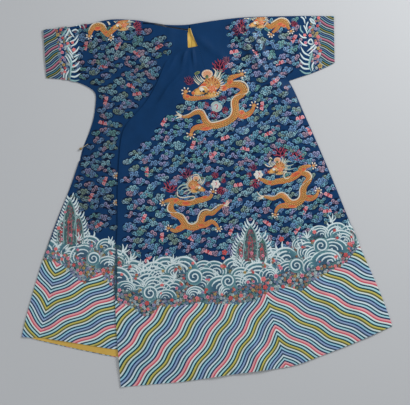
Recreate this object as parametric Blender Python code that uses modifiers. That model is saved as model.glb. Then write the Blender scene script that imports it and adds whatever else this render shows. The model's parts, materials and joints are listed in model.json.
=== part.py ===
"""Chinese dragon robe, not yet made up, laid flat on its back with the overlap on top.

Each cut piece is one closed solid. Sizes and places in the tables are millimetres, seen from
above with the hem towards -Y; the solids themselves are in metres, +Z up, resting on z = 0.
"Left" and "right" in names are the wearer's, so body_left lies at +X.
"""
import math
from collections import namedtuple

import bmesh
import bpy

MM = 0.001

# walls and gaps, mm
SILK_WALL = 1.5
LINING_WALL = 1.0
LAYER_GAP = 0.4
SEAM_GAP = 0.3
FLOOR_GAP = 0.2

# height of a layer's upper face by what it lies on, mm
LINING_TOP = SILK_WALL + LAYER_GAP + LINING_WALL
ON_FLOOR = SILK_WALL + FLOOR_GAP
ON_BACK = SILK_WALL + LAYER_GAP + SILK_WALL
ON_LINING = LINING_TOP + LAYER_GAP + SILK_WALL
ON_INNER = ON_LINING + LAYER_GAP + SILK_WALL

# rolled edges: radius over the shoulder and round the wearer's right side, mm
SHOULDER_ROLL = 3.5
SIDE_ROLL = ON_LINING / 2

# grid of one half: columns from the centre to the side, rows from the shoulder to the hem
BODY_COLS = 12
ROLL_STEPS = 4
STRIP_COLS = 2
SLEEVE_COLS = ROLL_STEPS + STRIP_COLS
ROWS = 40
UNDERARM_ROW = 8
SLIT_ROW = 3
STRIP_ROW = 17
NECK_COLS = 6
NECK_EASE = 4
OVERLAP_COLS = 14
LINING_STRIDE = 2
CORNER_STEPS = 30

# soft slopes: the distance over which one height becomes another, mm
SEAM_SLOPE = 45
SHOULDER_SLOPE = 60
INNER_LAP = (30, 110)
HEM_DROP = (-85, -12)
FOLD_FADE = (25, 85)

# the overlap's rows are closer together near the neck, and the lower ones take up the hem's curve
OVERLAP_CROWDING = 1.3
OVERLAP_HEM_ROWS = (0.5, 1)

# lining edges inside the silk's, mm
LINING_SIDE_INSET = 42
LINING_HEM_INSET = 1.5
LINING_TOP_INSET = 4
LINING_SLIT_INSET = 9

# toggle, mm
BUTTON_RADIUS = 4.6
SHANK_RADIUS = 1.4
SHANK_LENGTH = 1.8
BALL_STEPS = 7
CORD_RADIUS = 1.1
CORD_STITCHED = 9.0
CORD_LIFT = 0.9
CORD_RISE = 0.3
CORD_STEPS = 5
TURN_STEPS = 16
WELD = 0.00001

Point = namedtuple("Point", "x y")
Fold = namedtuple("Fold", "x y turn length width height")

BUTTON_AT = Point(-463.5, 193)
CORD_END_Y = 211

# top edge as it lies: the fold over both shoulders
SHOULDER = (
    Point(-600, 631), Point(-519, 637), Point(-462, 648), Point(-429, 651), Point(-356, 668),
    Point(-261, 665), Point(-221, 660), Point(-172, 650), Point(-99, 647), Point(-62, 650),
    Point(7, 661), Point(92, 672), Point(158, 677), Point(341, 681), Point(465, 680),
)
CENTRE_BACK = (Point(-62, 700), Point(0, -700))

# wearer's left half
LEFT_CENTRE_FRONT = (
    Point(-62, 700), Point(-62, 629), Point(-52, 602), Point(-33, 571), Point(12, 409),
    Point(110, 30), Point(155, -123), Point(216, -339), Point(286, -610),
)
LEFT_SIDE = (
    Point(290, 700), Point(296, 560), Point(300, 442), Point(319, 409), Point(348, 341),
    Point(405, 212), Point(462, 77), Point(520, -66), Point(568, -182), Point(631, -325),
    Point(678, -449), Point(682, -470),
)
LEFT_CUFF = (Point(465, 680), Point(468, 508))
LEFT_SLEEVE_UNDER = (Point(300, 442), Point(328, 452), Point(400, 476), Point(468, 508))

# wearer's right half
RIGHT_CENTRE_FRONT = (Point(-65, 700), Point(-65, 629), Point(-73, 600), Point(-69, 564),
                      Point(-90, -560))
RIGHT_SIDE = (
    Point(-398, 700), Point(-402, 560), Point(-406, 400), Point(-415, 308), Point(-433, 251),
    Point(-452, 207), Point(-472, 140), Point(-505, 44), Point(-553, -75), Point(-606, -225),
    Point(-640, -339), Point(-664, -426), Point(-681, -500),
)
RIGHT_SIDE_SEAM = (
    Point(-398, 700), Point(-402, 560), Point(-406, 400), Point(-415, 308), Point(-433, 251),
    Point(-448, 203), Point(-460, 155), Point(-481, 44), Point(-507, -75), Point(-540, -225),
    Point(-567, -339), Point(-587, -426), Point(-603, -500),
)
RIGHT_CUFF = (Point(-600, 631), Point(-589, 453))
RIGHT_SLEEVE_UNDER = (Point(-406, 400), Point(-434, 420), Point(-473, 437), Point(-525, 448),
                      Point(-589, 453))
NECK_SLIT = (Point(-235, 659), Point(-165, 645), Point(-60, 627))
SLIT_OPENING = 5

OVERLAP_EDGE = (
    Point(-70, 563), Point(-106, 549), Point(-136, 530), Point(-154, 508), Point(-176, 450),
    Point(-213, 380), Point(-257, 325), Point(-297, 284), Point(-312, 244), Point(-319, 189),
    Point(-325, 97), Point(-328, 5), Point(-328, -108), Point(-336, -185), Point(-339, -306),
    Point(-336, -386), Point(-332, -472), Point(-324, -574), Point(-316, -681),
)

# seams where front and back lie together, from the cuff down: all of the left half's, and the
# right half's as far as the strip that wraps round
UNDERARM = 3
STRIP_TOP = 6
LEFT_SEAM = LEFT_SLEEVE_UNDER[::-1] + LEFT_SIDE[UNDERARM:]
RIGHT_SEAM = RIGHT_SLEEVE_UNDER[::-1] + RIGHT_SIDE_SEAM[UNDERARM:STRIP_TOP]

# hems, from the wearer's right to the left
OUTER_HEM = (
    Point(-316, -681), Point(-184, -669), Point(-88, -661), Point(40, -642), Point(127, -630),
    Point(233, -616), Point(319, -602), Point(400, -573), Point(544, -517), Point(679, -457),
)
INNER_HEM = (Point(-690, -480), Point(-603, -500), Point(-500, -516), Point(-330, -543),
             Point(-90, -560))
BACK_HEM = (
    Point(-681, -491), Point(-633, -506), Point(-480, -541), Point(-324, -573),
    Point(-160, -592), Point(0, -596), Point(160, -588), Point(320, -566), Point(400, -546),
    Point(544, -496), Point(676, -444),
)

# soft ridges: middle, direction from +X in degrees, half length, half width, height
OUTER_FOLDS = (
    Fold(-118, 446, 54, 85, 24, 5.0),
    Fold(-205, 316, 48, 95, 30, 3.0),
    Fold(178, 585, -55, 80, 28, 4.5),
    Fold(262, 566, -52, 85, 26, 5.5),
    Fold(330, 500, 25, 90, 30, 4.0),
    Fold(60, 470, 80, 70, 30, 2.5),
    Fold(352, 150, 112, 210, 40, 4.0),
    Fold(40, 90, 82, 220, 60, 2.5),
    Fold(-250, -120, 92, 180, 34, 3.0),
    Fold(-236, -560, 96, 120, 38, 4.5),
    Fold(-92, -520, 84, 140, 42, 5.5),
    Fold(62, -560, 78, 110, 36, 4.0),
    Fold(188, -604, 96, 62, 34, 8.5),
    Fold(318, -500, 112, 120, 38, 5.0),
    Fold(428, -400, 118, 150, 42, 4.0),
    Fold(560, -410, 120, 120, 34, 5.5),
)
INNER_FOLDS = (
    Fold(-300, 500, -66, 110, 34, 4.0),
    Fold(-232, 560, -58, 70, 28, 3.0),
    Fold(-430, 470, -32, 110, 30, 4.5),
    Fold(-508, 540, 8, 80, 34, 3.0),
    Fold(-372, 250, 72, 150, 30, 3.5),
    Fold(-420, -40, 74, 170, 34, 4.0),
    Fold(-470, -360, 78, 150, 36, 5.0),
    Fold(-548, -420, 80, 110, 24, 3.5),
)

Finish = namedtuple("Finish", "colour roughness metallic")
BLUE_SILK = Finish((0.012, 0.042, 0.11, 1), 0.55, 0.0)
YELLOW_SILK = Finish((0.72, 0.47, 0.06, 1), 0.5, 0.0)
CREAM_CORD = Finish((0.70, 0.66, 0.50, 1), 0.7, 0.0)
BRASS = Finish((0.78, 0.62, 0.30, 1), 0.35, 1.0)


def lerp(a, b, t):
    return a + (b - a) * t


def ease(low, high, value):
    t = min(max((value - low) / (high - low), 0), 1)
    return t * t * (3 - 2 * t)


def smooth_curve(pairs, at):
    """Value at one place on a smooth curve through (place, value) pairs, in order of place."""
    pairs = sorted(pairs)
    at = min(max(at, pairs[0][0]), pairs[-1][0])
    i = max(k for k in range(len(pairs) - 1) if pairs[k][0] <= at or k == 0)
    (a, va), (b, vb) = pairs[i], pairs[i + 1]
    before = pairs[max(i - 1, 0)]
    after = pairs[min(i + 2, len(pairs) - 1)]
    slope_a = (vb - before[1]) / (b - before[0])
    slope_b = (after[1] - va) / (after[0] - a)
    t = (at - a) / (b - a)
    h = (b - a) * t * (1 - t)
    return lerp(va, vb, t * t * (3 - 2 * t)) + h * ((1 - t) * slope_a - t * slope_b)


def x_at(edge, y):
    return smooth_curve([(p.y, p.x) for p in edge], y)


def y_at(edge, x):
    return smooth_curve([(p.x, p.y) for p in edge], x)


def distance_to(line, x, y):
    """Shortest distance in plan from a point to a line through a table's points."""
    best = math.inf
    for a, b in zip(line, line[1:]):
        dx, dy = b.x - a.x, b.y - a.y
        t = min(max(((x - a.x) * dx + (y - a.y) * dy) / (dx * dx + dy * dy), 0), 1)
        best = min(best, math.hypot(x - a.x - t * dx, y - a.y - t * dy))
    return best


def fold_height(folds, x, y):
    total = 0
    for fold in folds:
        turn = math.radians(fold.turn)
        along = (x - fold.x) * math.cos(turn) + (y - fold.y) * math.sin(turn)
        across = (y - fold.y) * math.cos(turn) - (x - fold.x) * math.sin(turn)
        reach = (along / fold.length) ** 2 + (across / fold.width) ** 2
        total += fold.height * math.exp(-reach)
    return total


def shoulder_lift(y_below_fold):
    """Extra height of a front just below the rolled shoulder fold."""
    return (2 * SHOULDER_ROLL - ON_LINING) * (1 - ease(0, SHOULDER_SLOPE, y_below_fold))


def outer_height(x, y):
    """Upper face of the overlap and the left front."""
    past_inner = x - x_at(RIGHT_CENTRE_FRONT, y)
    height = lerp(ON_INNER, ON_LINING, ease(*INNER_LAP, past_inner))
    height += shoulder_lift(y_at(SHOULDER, x) - y)
    height = lerp(ON_FLOOR, height, ease(*HEM_DROP, y - y_at(BACK_HEM, x)))
    return height + fold_height(OUTER_FOLDS, x, y)


def left_front_height(x, y):
    from_seam = distance_to(LEFT_SEAM, x, y)
    return lerp(ON_BACK, outer_height(x, y), ease(0, SEAM_SLOPE, from_seam))


def right_front_height(x, y):
    """Upper face of the inner front: flat wherever the overlap lies on it."""
    beside_lap = x_at(OVERLAP_EDGE, y) - x
    folds = fold_height(INNER_FOLDS, x, y) * ease(*FOLD_FADE, beside_lap)
    height = ON_LINING + folds + shoulder_lift(y_at(SHOULDER, x) - y)
    from_seam = distance_to(RIGHT_SEAM, x, y)
    return lerp(ON_BACK, height, ease(0, SEAM_SLOPE, from_seam))


# one half of the robe: front, back and lining, each between a centre edge, a side and a hem
Panel = namedtuple("Panel", "centre side hem")
Half = namedtuple("Half", "front back lining cuff under height gap")


def moved(edge, x, y):
    return tuple(Point(p.x + x, p.y + y) for p in edge)


LINING_HEM = moved(BACK_HEM, 0, LINING_HEM_INSET)
LEFT = Half(Panel(LEFT_CENTRE_FRONT, LEFT_SIDE, OUTER_HEM),
            Panel(CENTRE_BACK, LEFT_SIDE, BACK_HEM),
            Panel(CENTRE_BACK, moved(LEFT_SIDE, -LINING_SIDE_INSET, 0), LINING_HEM),
            LEFT_CUFF, LEFT_SLEEVE_UNDER, left_front_height, SEAM_GAP / 2)
RIGHT = Half(Panel(RIGHT_CENTRE_FRONT, RIGHT_SIDE_SEAM, INNER_HEM),
             Panel(CENTRE_BACK, RIGHT_SIDE, BACK_HEM),
             Panel(CENTRE_BACK, moved(RIGHT_SIDE, LINING_SIDE_INSET, 0), LINING_HEM),
             RIGHT_CUFF, RIGHT_SLEEVE_UNDER, right_front_height, -SEAM_GAP / 2)


def corner(edge, hem):
    """Where a panel's edge, going down, meets its hem."""
    y = hem[0].y
    for _ in range(CORNER_STEPS):
        y = y_at(hem, x_at(edge, y))
    return Point(x_at(edge, y), y)


def row_height(row, top, underarm, hem):
    if row <= UNDERARM_ROW:
        return lerp(top, underarm, row / UNDERARM_ROW)
    return lerp(underarm, hem, (row - UNDERARM_ROW) / (ROWS - UNDERARM_ROW))


def roll_start(x):
    """Where the flat cloth ends and the shoulder roll begins."""
    return y_at(SHOULDER, x) - SHOULDER_ROLL


def edge_point(half, edge, hem, row):
    """Point of one row on a panel's centre or side edge."""
    top = roll_start(edge[0].x)
    y = row_height(row, top, half.under[0].y, corner(edge, hem).y)
    return Point(x_at(edge, y), y)


def sleeve_point(half, side, out, down):
    top_x = lerp(side[0].x, half.cuff[0].x, out)
    low_x = lerp(half.under[0].x, half.cuff[1].x, out)
    seam_y = y_at(half.under, low_x)
    return Point(lerp(top_x, low_x, down), lerp(roll_start(top_x), seam_y, down))


def panel_point(half, panel, col, row):
    """Plan position of a grid point on the front or the back of one half."""
    if col > BODY_COLS:
        out = (col - BODY_COLS) / SLEEVE_COLS
        return sleeve_point(half, panel.side, out, row / UNDERARM_ROW)
    across = col / BODY_COLS
    centre = edge_point(half, panel.centre, panel.hem, row)
    side = edge_point(half, panel.side, panel.hem, row)
    top_x = lerp(panel.centre[0].x, panel.side[0].x, across)
    hem_x = lerp(corner(panel.centre, panel.hem).x, corner(panel.side, panel.hem).x, across)
    y = row_height(row, roll_start(top_x), half.under[0].y, y_at(panel.hem, hem_x))
    return Point(lerp(centre.x + half.gap, side.x, across), y)


def roll_arc(radius, share):
    """How far a rolled edge stands out and up, from its lower to its upper face."""
    angle = math.pi * (share - 0.5)
    return radius * math.cos(angle), radius * (1 + math.sin(angle))


def back_point(half, col, row):
    """Underside of the back; on the wearer's right it also wraps round to the front."""
    if col >= BODY_COLS and row >= STRIP_ROW and half is RIGHT:
        return wrapped_point(col - BODY_COLS, row)
    flat = panel_point(half, half.back, col, row)
    return flat.x, flat.y, 0


def wrapped_point(step, row):
    side = edge_point(RIGHT, RIGHT.back.side, RIGHT.back.hem, row)
    seam = edge_point(RIGHT, RIGHT.front.side, RIGHT.front.hem, row)
    y = lerp(side.y, seam.y, step / SLEEVE_COLS)
    out, up = roll_arc(SIDE_ROLL, min(step / ROLL_STEPS, 1))
    inner_x = x_at(RIGHT_SIDE, y) + SIDE_ROLL
    x = lerp(inner_x - out, seam.x - SEAM_GAP, max(step - ROLL_STEPS, 0) / STRIP_COLS)
    return x, y, up


def shoulder_point(half, col, step):
    back = panel_point(half, half.back, col, 0)
    front = panel_point(half, half.front, col, 0)
    share = step / ROLL_STEPS
    out, up = roll_arc(SHOULDER_ROLL, share)
    return lerp(back.x, front.x, share), lerp(back.y, front.y, share) + out, up


def front_point(half, col, row):
    point = panel_point(half, half.front, col, row)
    if half is RIGHT and row in (1, 2):
        lip = SLIT_OPENING / 2 if row == 1 else -SLIT_OPENING / 2
        lip_y = min(y_at(NECK_SLIT, point.x) + lip, roll_start(point.x) - row)
        share = ease(NECK_COLS - 1, NECK_COLS + NECK_EASE, col)
        point = Point(point.x, lerp(lip_y, point.y, share))
    return point.x, point.y, half.height(point.x, point.y)


def half_point(half, col, step):
    """A point of the outer face: up the back, over the shoulder and down the front."""
    if step <= ROWS:
        return back_point(half, col, ROWS - step)
    if step <= ROWS + ROLL_STEPS:
        return shoulder_point(half, col, step - ROWS)
    return front_point(half, col, step - ROWS - ROLL_STEPS)


def half_has_cell(half, col, step):
    """True where cloth fills the grid cell that starts at this column and step."""
    back_row = ROWS - 1 - step
    front_row = step - ROWS - ROLL_STEPS
    wraps = half is RIGHT and back_row >= STRIP_ROW
    if col >= BODY_COLS:
        return max(back_row, front_row) < UNDERARM_ROW or wraps
    return not (half is RIGHT and front_row == 1 and col < NECK_COLS)


def overlap_point(col, row):
    down = row / (ROWS - SLIT_ROW)
    left_y = lerp(OVERLAP_EDGE[0].y, OVERLAP_EDGE[-1].y, down ** OVERLAP_CROWDING)
    left = Point(x_at(OVERLAP_EDGE, left_y), left_y)
    right = edge_point(LEFT, LEFT_CENTRE_FRONT, OUTER_HEM, row + SLIT_ROW)
    x = lerp(left.x, right.x - SEAM_GAP / 2, col / OVERLAP_COLS)
    y = lerp(left.y, right.y, col / OVERLAP_COLS)
    hem_x = lerp(OUTER_HEM[0].x, corner(LEFT_CENTRE_FRONT, OUTER_HEM).x, col / OVERLAP_COLS)
    hem_chord = lerp(OUTER_HEM[0].y, corner(LEFT_CENTRE_FRONT, OUTER_HEM).y, col / OVERLAP_COLS)
    y += (y_at(OUTER_HEM, hem_x) - hem_chord) * ease(*OVERLAP_HEM_ROWS, down)
    return x, y, outer_height(x, y)


def lining_point(half, col, row):
    """Upper face of the lining; on the wearer's right it stops short of the neck slit."""
    point = panel_point(half, half.lining, col * LINING_STRIDE, row * LINING_STRIDE)
    y = min(point.y, roll_start(point.x) - LINING_TOP_INSET)
    if half is RIGHT:
        y = min(y, y_at(NECK_SLIT, point.x) - LINING_SLIT_INSET)
    return point.x, y, LINING_TOP


def make_finish(name, finish):
    material = bpy.data.materials.new(name)
    material.use_nodes = True
    shader = material.node_tree.nodes["Principled BSDF"]
    shader.inputs["Base Color"].default_value = finish.colour
    shader.inputs["Roughness"].default_value = finish.roughness
    shader.inputs["Metallic"].default_value = finish.metallic
    return material


def add_object(name, data, finish):
    data.materials.append(make_finish(name, finish))
    made = bpy.data.objects.new(name, data)
    robe.objects.link(made)
    return made


def add_cloth(name, cols, rows, point, wall, finish, has_cell=None, reverse=False):
    """A sheet of cloth: a grid bent to its place, with a wall inside its outer face."""
    bm = bmesh.new()
    bmesh.ops.create_grid(bm, x_segments=cols, y_segments=rows, size=0.5)
    if has_cell:
        gone = []
        for face in bm.faces:
            middle = face.calc_center_median()
            cell = int((middle.x + 0.5) * cols), int((middle.y + 0.5) * rows)
            if not has_cell(*cell):
                gone.append(face)
        bmesh.ops.delete(bm, geom=gone, context="FACES")
    for vert in bm.verts:
        col = round((vert.co.x + 0.5) * cols)
        row = round((vert.co.y + 0.5) * rows)
        vert.co = [size * MM for size in point(col, row)]
    if reverse:
        bmesh.ops.reverse_faces(bm, faces=bm.faces)
    mesh = bpy.data.meshes.new(name)
    bm.to_mesh(mesh)
    bm.free()
    mesh.shade_smooth()
    sheet = add_object(name, mesh, finish)
    solidify = sheet.modifiers.new("Wall", "SOLIDIFY")
    solidify.thickness = wall * MM
    solidify.offset = -1
    return sheet


def add_half(name, half, reverse):
    add_cloth("body_" + name, BODY_COLS + SLEEVE_COLS, 2 * ROWS + ROLL_STEPS,
              lambda col, step: half_point(half, col, step), SILK_WALL, BLUE_SILK,
              lambda col, step: half_has_cell(half, col, step), reverse)
    add_cloth("lining_" + name, BODY_COLS // LINING_STRIDE, ROWS // LINING_STRIDE,
              lambda col, row: lining_point(half, col, row), LINING_WALL, YELLOW_SILK,
              reverse=reverse)


def add_toggle_button(lean):
    """A ball on a short shank, lying on the surface with the shank towards the robe."""
    shank_angle = math.asin(SHANK_RADIUS / BUTTON_RADIUS)
    profile = [(0, -BUTTON_RADIUS)]
    for step in range(1, BALL_STEPS + 1):
        angle = (math.pi - shank_angle) * step / BALL_STEPS - math.pi / 2
        profile.append((BUTTON_RADIUS * math.cos(angle), BUTTON_RADIUS * math.sin(angle)))
    profile.append((SHANK_RADIUS, BUTTON_RADIUS + SHANK_LENGTH))
    profile.append((0, BUTTON_RADIUS + SHANK_LENGTH))
    mesh = bpy.data.meshes.new("toggle_button")
    points = [(x * MM, 0, z * MM) for x, z in reversed(profile)]
    mesh.from_pydata(points, [(i, i + 1) for i in range(len(points) - 1)], [])
    button = add_object("toggle_button", mesh, BRASS)
    button.location = (BUTTON_AT.x * MM, BUTTON_AT.y * MM, BUTTON_RADIUS * MM)
    button.rotation_euler = (0, math.pi / 2, lean)
    turn = button.modifiers.new("Turn", "SCREW")
    turn.steps = TURN_STEPS
    turn.render_steps = TURN_STEPS
    turn.use_merge_vertices = True
    turn.merge_threshold = WELD


def add_toggle_cord(reach, lean):
    """The cord runs from the shank up over the side edge and lies stitched on the front."""
    start = BUTTON_RADIUS + SHANK_LENGTH + SEAM_GAP
    curve = bpy.data.curves.new("toggle_cord", "CURVE")
    curve.dimensions = "3D"
    curve.bevel_depth = CORD_RADIUS * MM
    curve.bevel_resolution = 2
    curve.use_fill_caps = True
    spline = curve.splines.new("POLY")
    spline.points.add(CORD_STEPS)
    for step, point in enumerate(spline.points):
        share = step / CORD_STEPS
        out = lerp(start, reach, share)
        x = BUTTON_AT.x + out * math.cos(lean)
        y = BUTTON_AT.y + out * math.sin(lean)
        over = right_front_height(x, y) + CORD_LIFT + CORD_RADIUS
        z = lerp(BUTTON_RADIUS, over, ease(0, CORD_RISE, share))
        point.co = (x * MM, y * MM, z * MM, 1)
    add_object("toggle_cord", curve, CREAM_CORD)


def add_toggle():
    across = x_at(RIGHT_SIDE_SEAM, CORD_END_Y) + CORD_STITCHED - BUTTON_AT.x
    along = CORD_END_Y - BUTTON_AT.y
    lean = math.atan2(along, across)
    add_toggle_button(lean)
    add_toggle_cord(math.hypot(across, along), lean)


for old in list(bpy.data.objects):
    bpy.data.objects.remove(old)
robe = bpy.data.collections.new("chinese_dragon_robe")
bpy.context.scene.collection.children.link(robe)

add_half("left", LEFT, reverse=True)
add_half("right", RIGHT, reverse=False)
add_cloth("front_overlap", OVERLAP_COLS, ROWS - SLIT_ROW, overlap_point, SILK_WALL, BLUE_SILK,
          reverse=True)
add_toggle()
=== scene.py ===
import json
import math
import random

import bmesh
import bpy
import numpy as np
from mathutils import Matrix, Vector, noise
from mathutils.bvhtree import BVHTree
from mathutils.kdtree import KDTree

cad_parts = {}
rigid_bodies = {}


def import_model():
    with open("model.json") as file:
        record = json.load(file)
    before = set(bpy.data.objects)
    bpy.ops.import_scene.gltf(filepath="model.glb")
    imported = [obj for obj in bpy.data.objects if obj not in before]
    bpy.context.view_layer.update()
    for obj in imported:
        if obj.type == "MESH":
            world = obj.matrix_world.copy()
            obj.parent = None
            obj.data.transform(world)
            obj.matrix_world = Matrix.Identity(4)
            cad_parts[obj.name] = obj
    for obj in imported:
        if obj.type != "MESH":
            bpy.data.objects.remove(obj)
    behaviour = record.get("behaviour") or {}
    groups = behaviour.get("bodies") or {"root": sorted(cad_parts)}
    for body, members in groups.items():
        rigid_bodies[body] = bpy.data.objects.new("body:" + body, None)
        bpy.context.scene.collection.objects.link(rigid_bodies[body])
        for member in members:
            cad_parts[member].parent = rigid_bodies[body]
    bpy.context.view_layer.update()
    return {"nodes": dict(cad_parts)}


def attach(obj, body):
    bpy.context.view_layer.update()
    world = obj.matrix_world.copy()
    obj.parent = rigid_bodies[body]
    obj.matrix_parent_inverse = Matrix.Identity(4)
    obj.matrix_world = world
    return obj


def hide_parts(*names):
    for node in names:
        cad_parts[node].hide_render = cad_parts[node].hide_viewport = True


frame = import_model()
random.seed(11)
mm = 0.001

# places are given in layout squares, counted right and down from one corner, turns in degrees
layout = {"square": 3.67 * mm, "middleCol": 207, "middleRow": 201.5}


def spot(col, row):
    return square(col - layout["middleCol"]), square(layout["middleRow"] - row)


def square(size):
    return size * layout["square"]


def heading(turn):
    # across and up for a length of one in the direction of a turn
    angle = math.radians(turn)
    return math.cos(angle), math.sin(angle)


def say(stage):
    print("robe:", stage)


view = {"height": 6.0, "centre": (205, 202.5), "squaresWide": 410, "sensor": 36}


def makeCamera():
    data = bpy.data.cameras.new("viewFromAbove")
    data.sensor_width = view["sensor"]
    data.lens = view["sensor"] * view["height"] / square(view["squaresWide"])
    data.clip_end = 100
    camera = bpy.data.objects.new("viewFromAbove", data)
    camera.location = (*spot(*view["centre"]), view["height"])
    bpy.context.scene.collection.objects.link(camera)
    bpy.context.scene.camera = camera


# lamps aimed at the robe: their place, size and power
light = {"key": (2.0, 1.9, 1.9, 1.2, 72), "fill": (-2.2, -1.4, 2.8, 3.0, 22),
         "sky": (0.93, 0.96, 1, 1), "skyStrength": 0.4}


def softLight(name, x, y, z, size, power):
    data = bpy.data.lights.new(name, "AREA")
    data.shape = "DISK"
    data.size = size
    data.energy = power
    lamp = bpy.data.objects.new(name, data)
    lamp.location = (x, y, z)
    lamp.rotation_euler = Vector((-x, -y, -z)).to_track_quat("-Z", "Y").to_euler()
    bpy.context.scene.collection.objects.link(lamp)


def makeLight():
    softLight("keyLight", *light["key"])
    softLight("fillLight", *light["fill"])
    world = bpy.data.worlds.new("studio")
    world.use_nodes = True
    sky = world.node_tree.nodes["Background"]
    sky.inputs["Color"].default_value = light["sky"]
    sky.inputs["Strength"].default_value = light["skyStrength"]
    bpy.context.scene.world = world
    bpy.context.scene.view_settings.view_transform = "Standard"


makeCamera()
makeLight()


# small helpers that lay nodes in the tree of a node or socket that is already there
def colour(shade):
    # a dyer's card colour in steps of 255, or a plain share of white, as light
    if not isinstance(shade, tuple):
        return (shade, shade, shade, 1)
    return tuple(c / 12.92 if c < 0.04045 else ((c + 0.055) / 1.055) ** 2.4
                 for c in (part / 255 for part in shade)) + (1,)


def newMaterial(name, roughness, sheen=0.0, metallic=0.0, specular=0.5):
    material = bpy.data.materials.new(name)
    material.use_nodes = True
    shader = material.node_tree.nodes["Principled BSDF"]
    shader.inputs["Roughness"].default_value = roughness
    shader.inputs["Metallic"].default_value = metallic
    shader.inputs["Sheen Weight"].default_value = sheen
    shader.inputs["Sheen Roughness"].default_value = 0.4
    shader.inputs["Specular IOR Level"].default_value = specular
    return material, shader


def newNode(kind, near):
    return near.id_data.nodes.new("ShaderNode" + kind)


def plug(socket, value):
    if isinstance(value, bpy.types.NodeSocket):
        socket.id_data.links.new(value, socket)
    elif value is not None:
        socket.default_value = colour(value) if isinstance(value, tuple) else value


def calc(kind, a, b=None, c=None):
    node = newNode("Math", a)
    node.operation = kind
    for socket, value in zip(node.inputs, (a, b, c)):
        plug(socket, value)
    return node.outputs[0]


def blendColour(share, a, b):
    node = newNode("Mix", share)
    node.data_type = "RGBA"
    for place, value in ((0, share), (6, a), (7, b)):
        plug(node.inputs[place], value)
    return node.outputs[2]


def ramp(value, stops, mode="LINEAR"):
    # stops: a dye at each place along the value
    node = newNode("ValToRGB", value)
    bar = node.color_ramp
    bar.interpolation = mode
    while len(bar.elements) < len(stops):
        bar.elements.new(1)
    for element, (place, shade) in zip(bar.elements, stops.items()):
        element.position = place
        element.color = colour(shade)
    plug(node.inputs[0], value)
    return node.outputs[0]


def deepened(shade, value):
    node = newNode("HueSaturation", shade)
    node.inputs["Value"].default_value = value
    plug(node.inputs["Color"], shade)
    return node.outputs[0]


def objectPlace(shader):
    coords = newNode("TexCoord", shader).outputs["Object"]
    split = newNode("SeparateXYZ", shader)
    plug(split.inputs[0], coords)
    return coords, *split.outputs


def stretched(coords, scale):
    fit = newNode("Mapping", coords)
    fit.inputs["Scale"].default_value = scale
    plug(fit.inputs[0], coords)
    return fit.outputs[0]


def noiseOf(coords, scale, detail=2.0):
    node = newNode("TexNoise", coords)
    node.inputs["Scale"].default_value = scale
    node.inputs["Detail"].default_value = detail
    plug(node.inputs["Vector"], coords)
    return node.outputs[0]


def cellsOf(coords, scale, feature="F1"):
    node = newNode("TexVoronoi", coords)
    node.feature = feature
    node.inputs["Scale"].default_value = scale
    plug(node.inputs["Vector"], coords)
    return node


def finishSurface(shader, shade, height, distance, strength):
    # colours the surface and lets the height stand out of it
    bump = newNode("Bump", shader)
    bump.inputs["Distance"].default_value = distance
    bump.inputs["Strength"].default_value = strength
    plug(bump.inputs["Height"], height)
    plug(shader.inputs["Normal"], bump.outputs[0])
    plug(shader.inputs["Base Color"], shade)


# robe silk: plain dark blue, with the striped water below and on the sleeve ends
silk = {"blue": (12, 53, 98), "blueDeep": (7, 41, 76), "blueWorn": (34, 78, 122), "weave": 1150,
        "weft": 0.3, "mottleScale": 26, "wobbleScale": 4, "wobble": 2, "cordHeight": 0.35 * mm,
        "period": 95 * mm, "waveLength": 122 * mm, "waveHeight": 3.6 * mm, "bow": -0.2,
        "rockScale": 105, "rockEdge": (30, 52, 68), "backCloudScale": 38, "cuffsFrom": 0.42,
        "backCloudsTo": 0.66, "backBelow": 0.9 * mm, "span": 1.5}
rockDyes = {0: (58, 88, 104), 0.2: (44, 78, 92), 0.4: (84, 112, 124), 0.6: (52, 84, 90),
            0.8: (74, 90, 118)}
stripeThreads = [(230, 164, 168), (198, 88, 106), (218, 228, 224), (32, 74, 90), (172, 216, 222),
    (34, 72, 74), (196, 186, 98), (100, 98, 52), (210, 224, 220), (32, 76, 94), (158, 206, 224),
    (32, 64, 104), (146, 170, 204), (54, 72, 98), (210, 228, 234), (32, 80, 94), (170, 214, 222),
    (46, 58, 92)]
cuffThreads = [(178, 124, 140), (150, 78, 104), (22, 38, 54), (162, 176, 180), (18, 36, 54), (80, 130, 144),
    (18, 36, 50), (134, 134, 78), (22, 38, 42), (154, 170, 174), (18, 38, 58), (78, 110, 150), (20, 34, 58),
    (120, 160, 174), (18, 38, 52)]

# a chevron of stripes: its apex, the turn of its axis, how far it opens and its size; a cuff's
# stripes lie where x is past its limit, which slopes with the height on the robe
chevrons = {
    "front": {"at": (275, 325.6), "lean": 105.4, "opens": 45, "shape": 1, "scale": 1.0},
    "inner": {"at": (49.7, 295.5), "lean": 76, "opens": 41, "shape": -1, "scale": 1.0},
    "back": {"at": (200, 330), "lean": 95, "opens": 45, "shape": 1, "scale": 1.0},
    "leftCuff": {"at": (50, 50), "lean": 125, "opens": 0, "shape": 1, "scale": 0.56,
                 "limit": ("LESS_THAN", 76.5, -0.115)},
    "rightCuff": {"at": (327, 40), "lean": 63, "opens": 0, "shape": 1, "scale": 0.56,
                  "limit": ("GREATER_THAN", 319, 0)},
}
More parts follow.
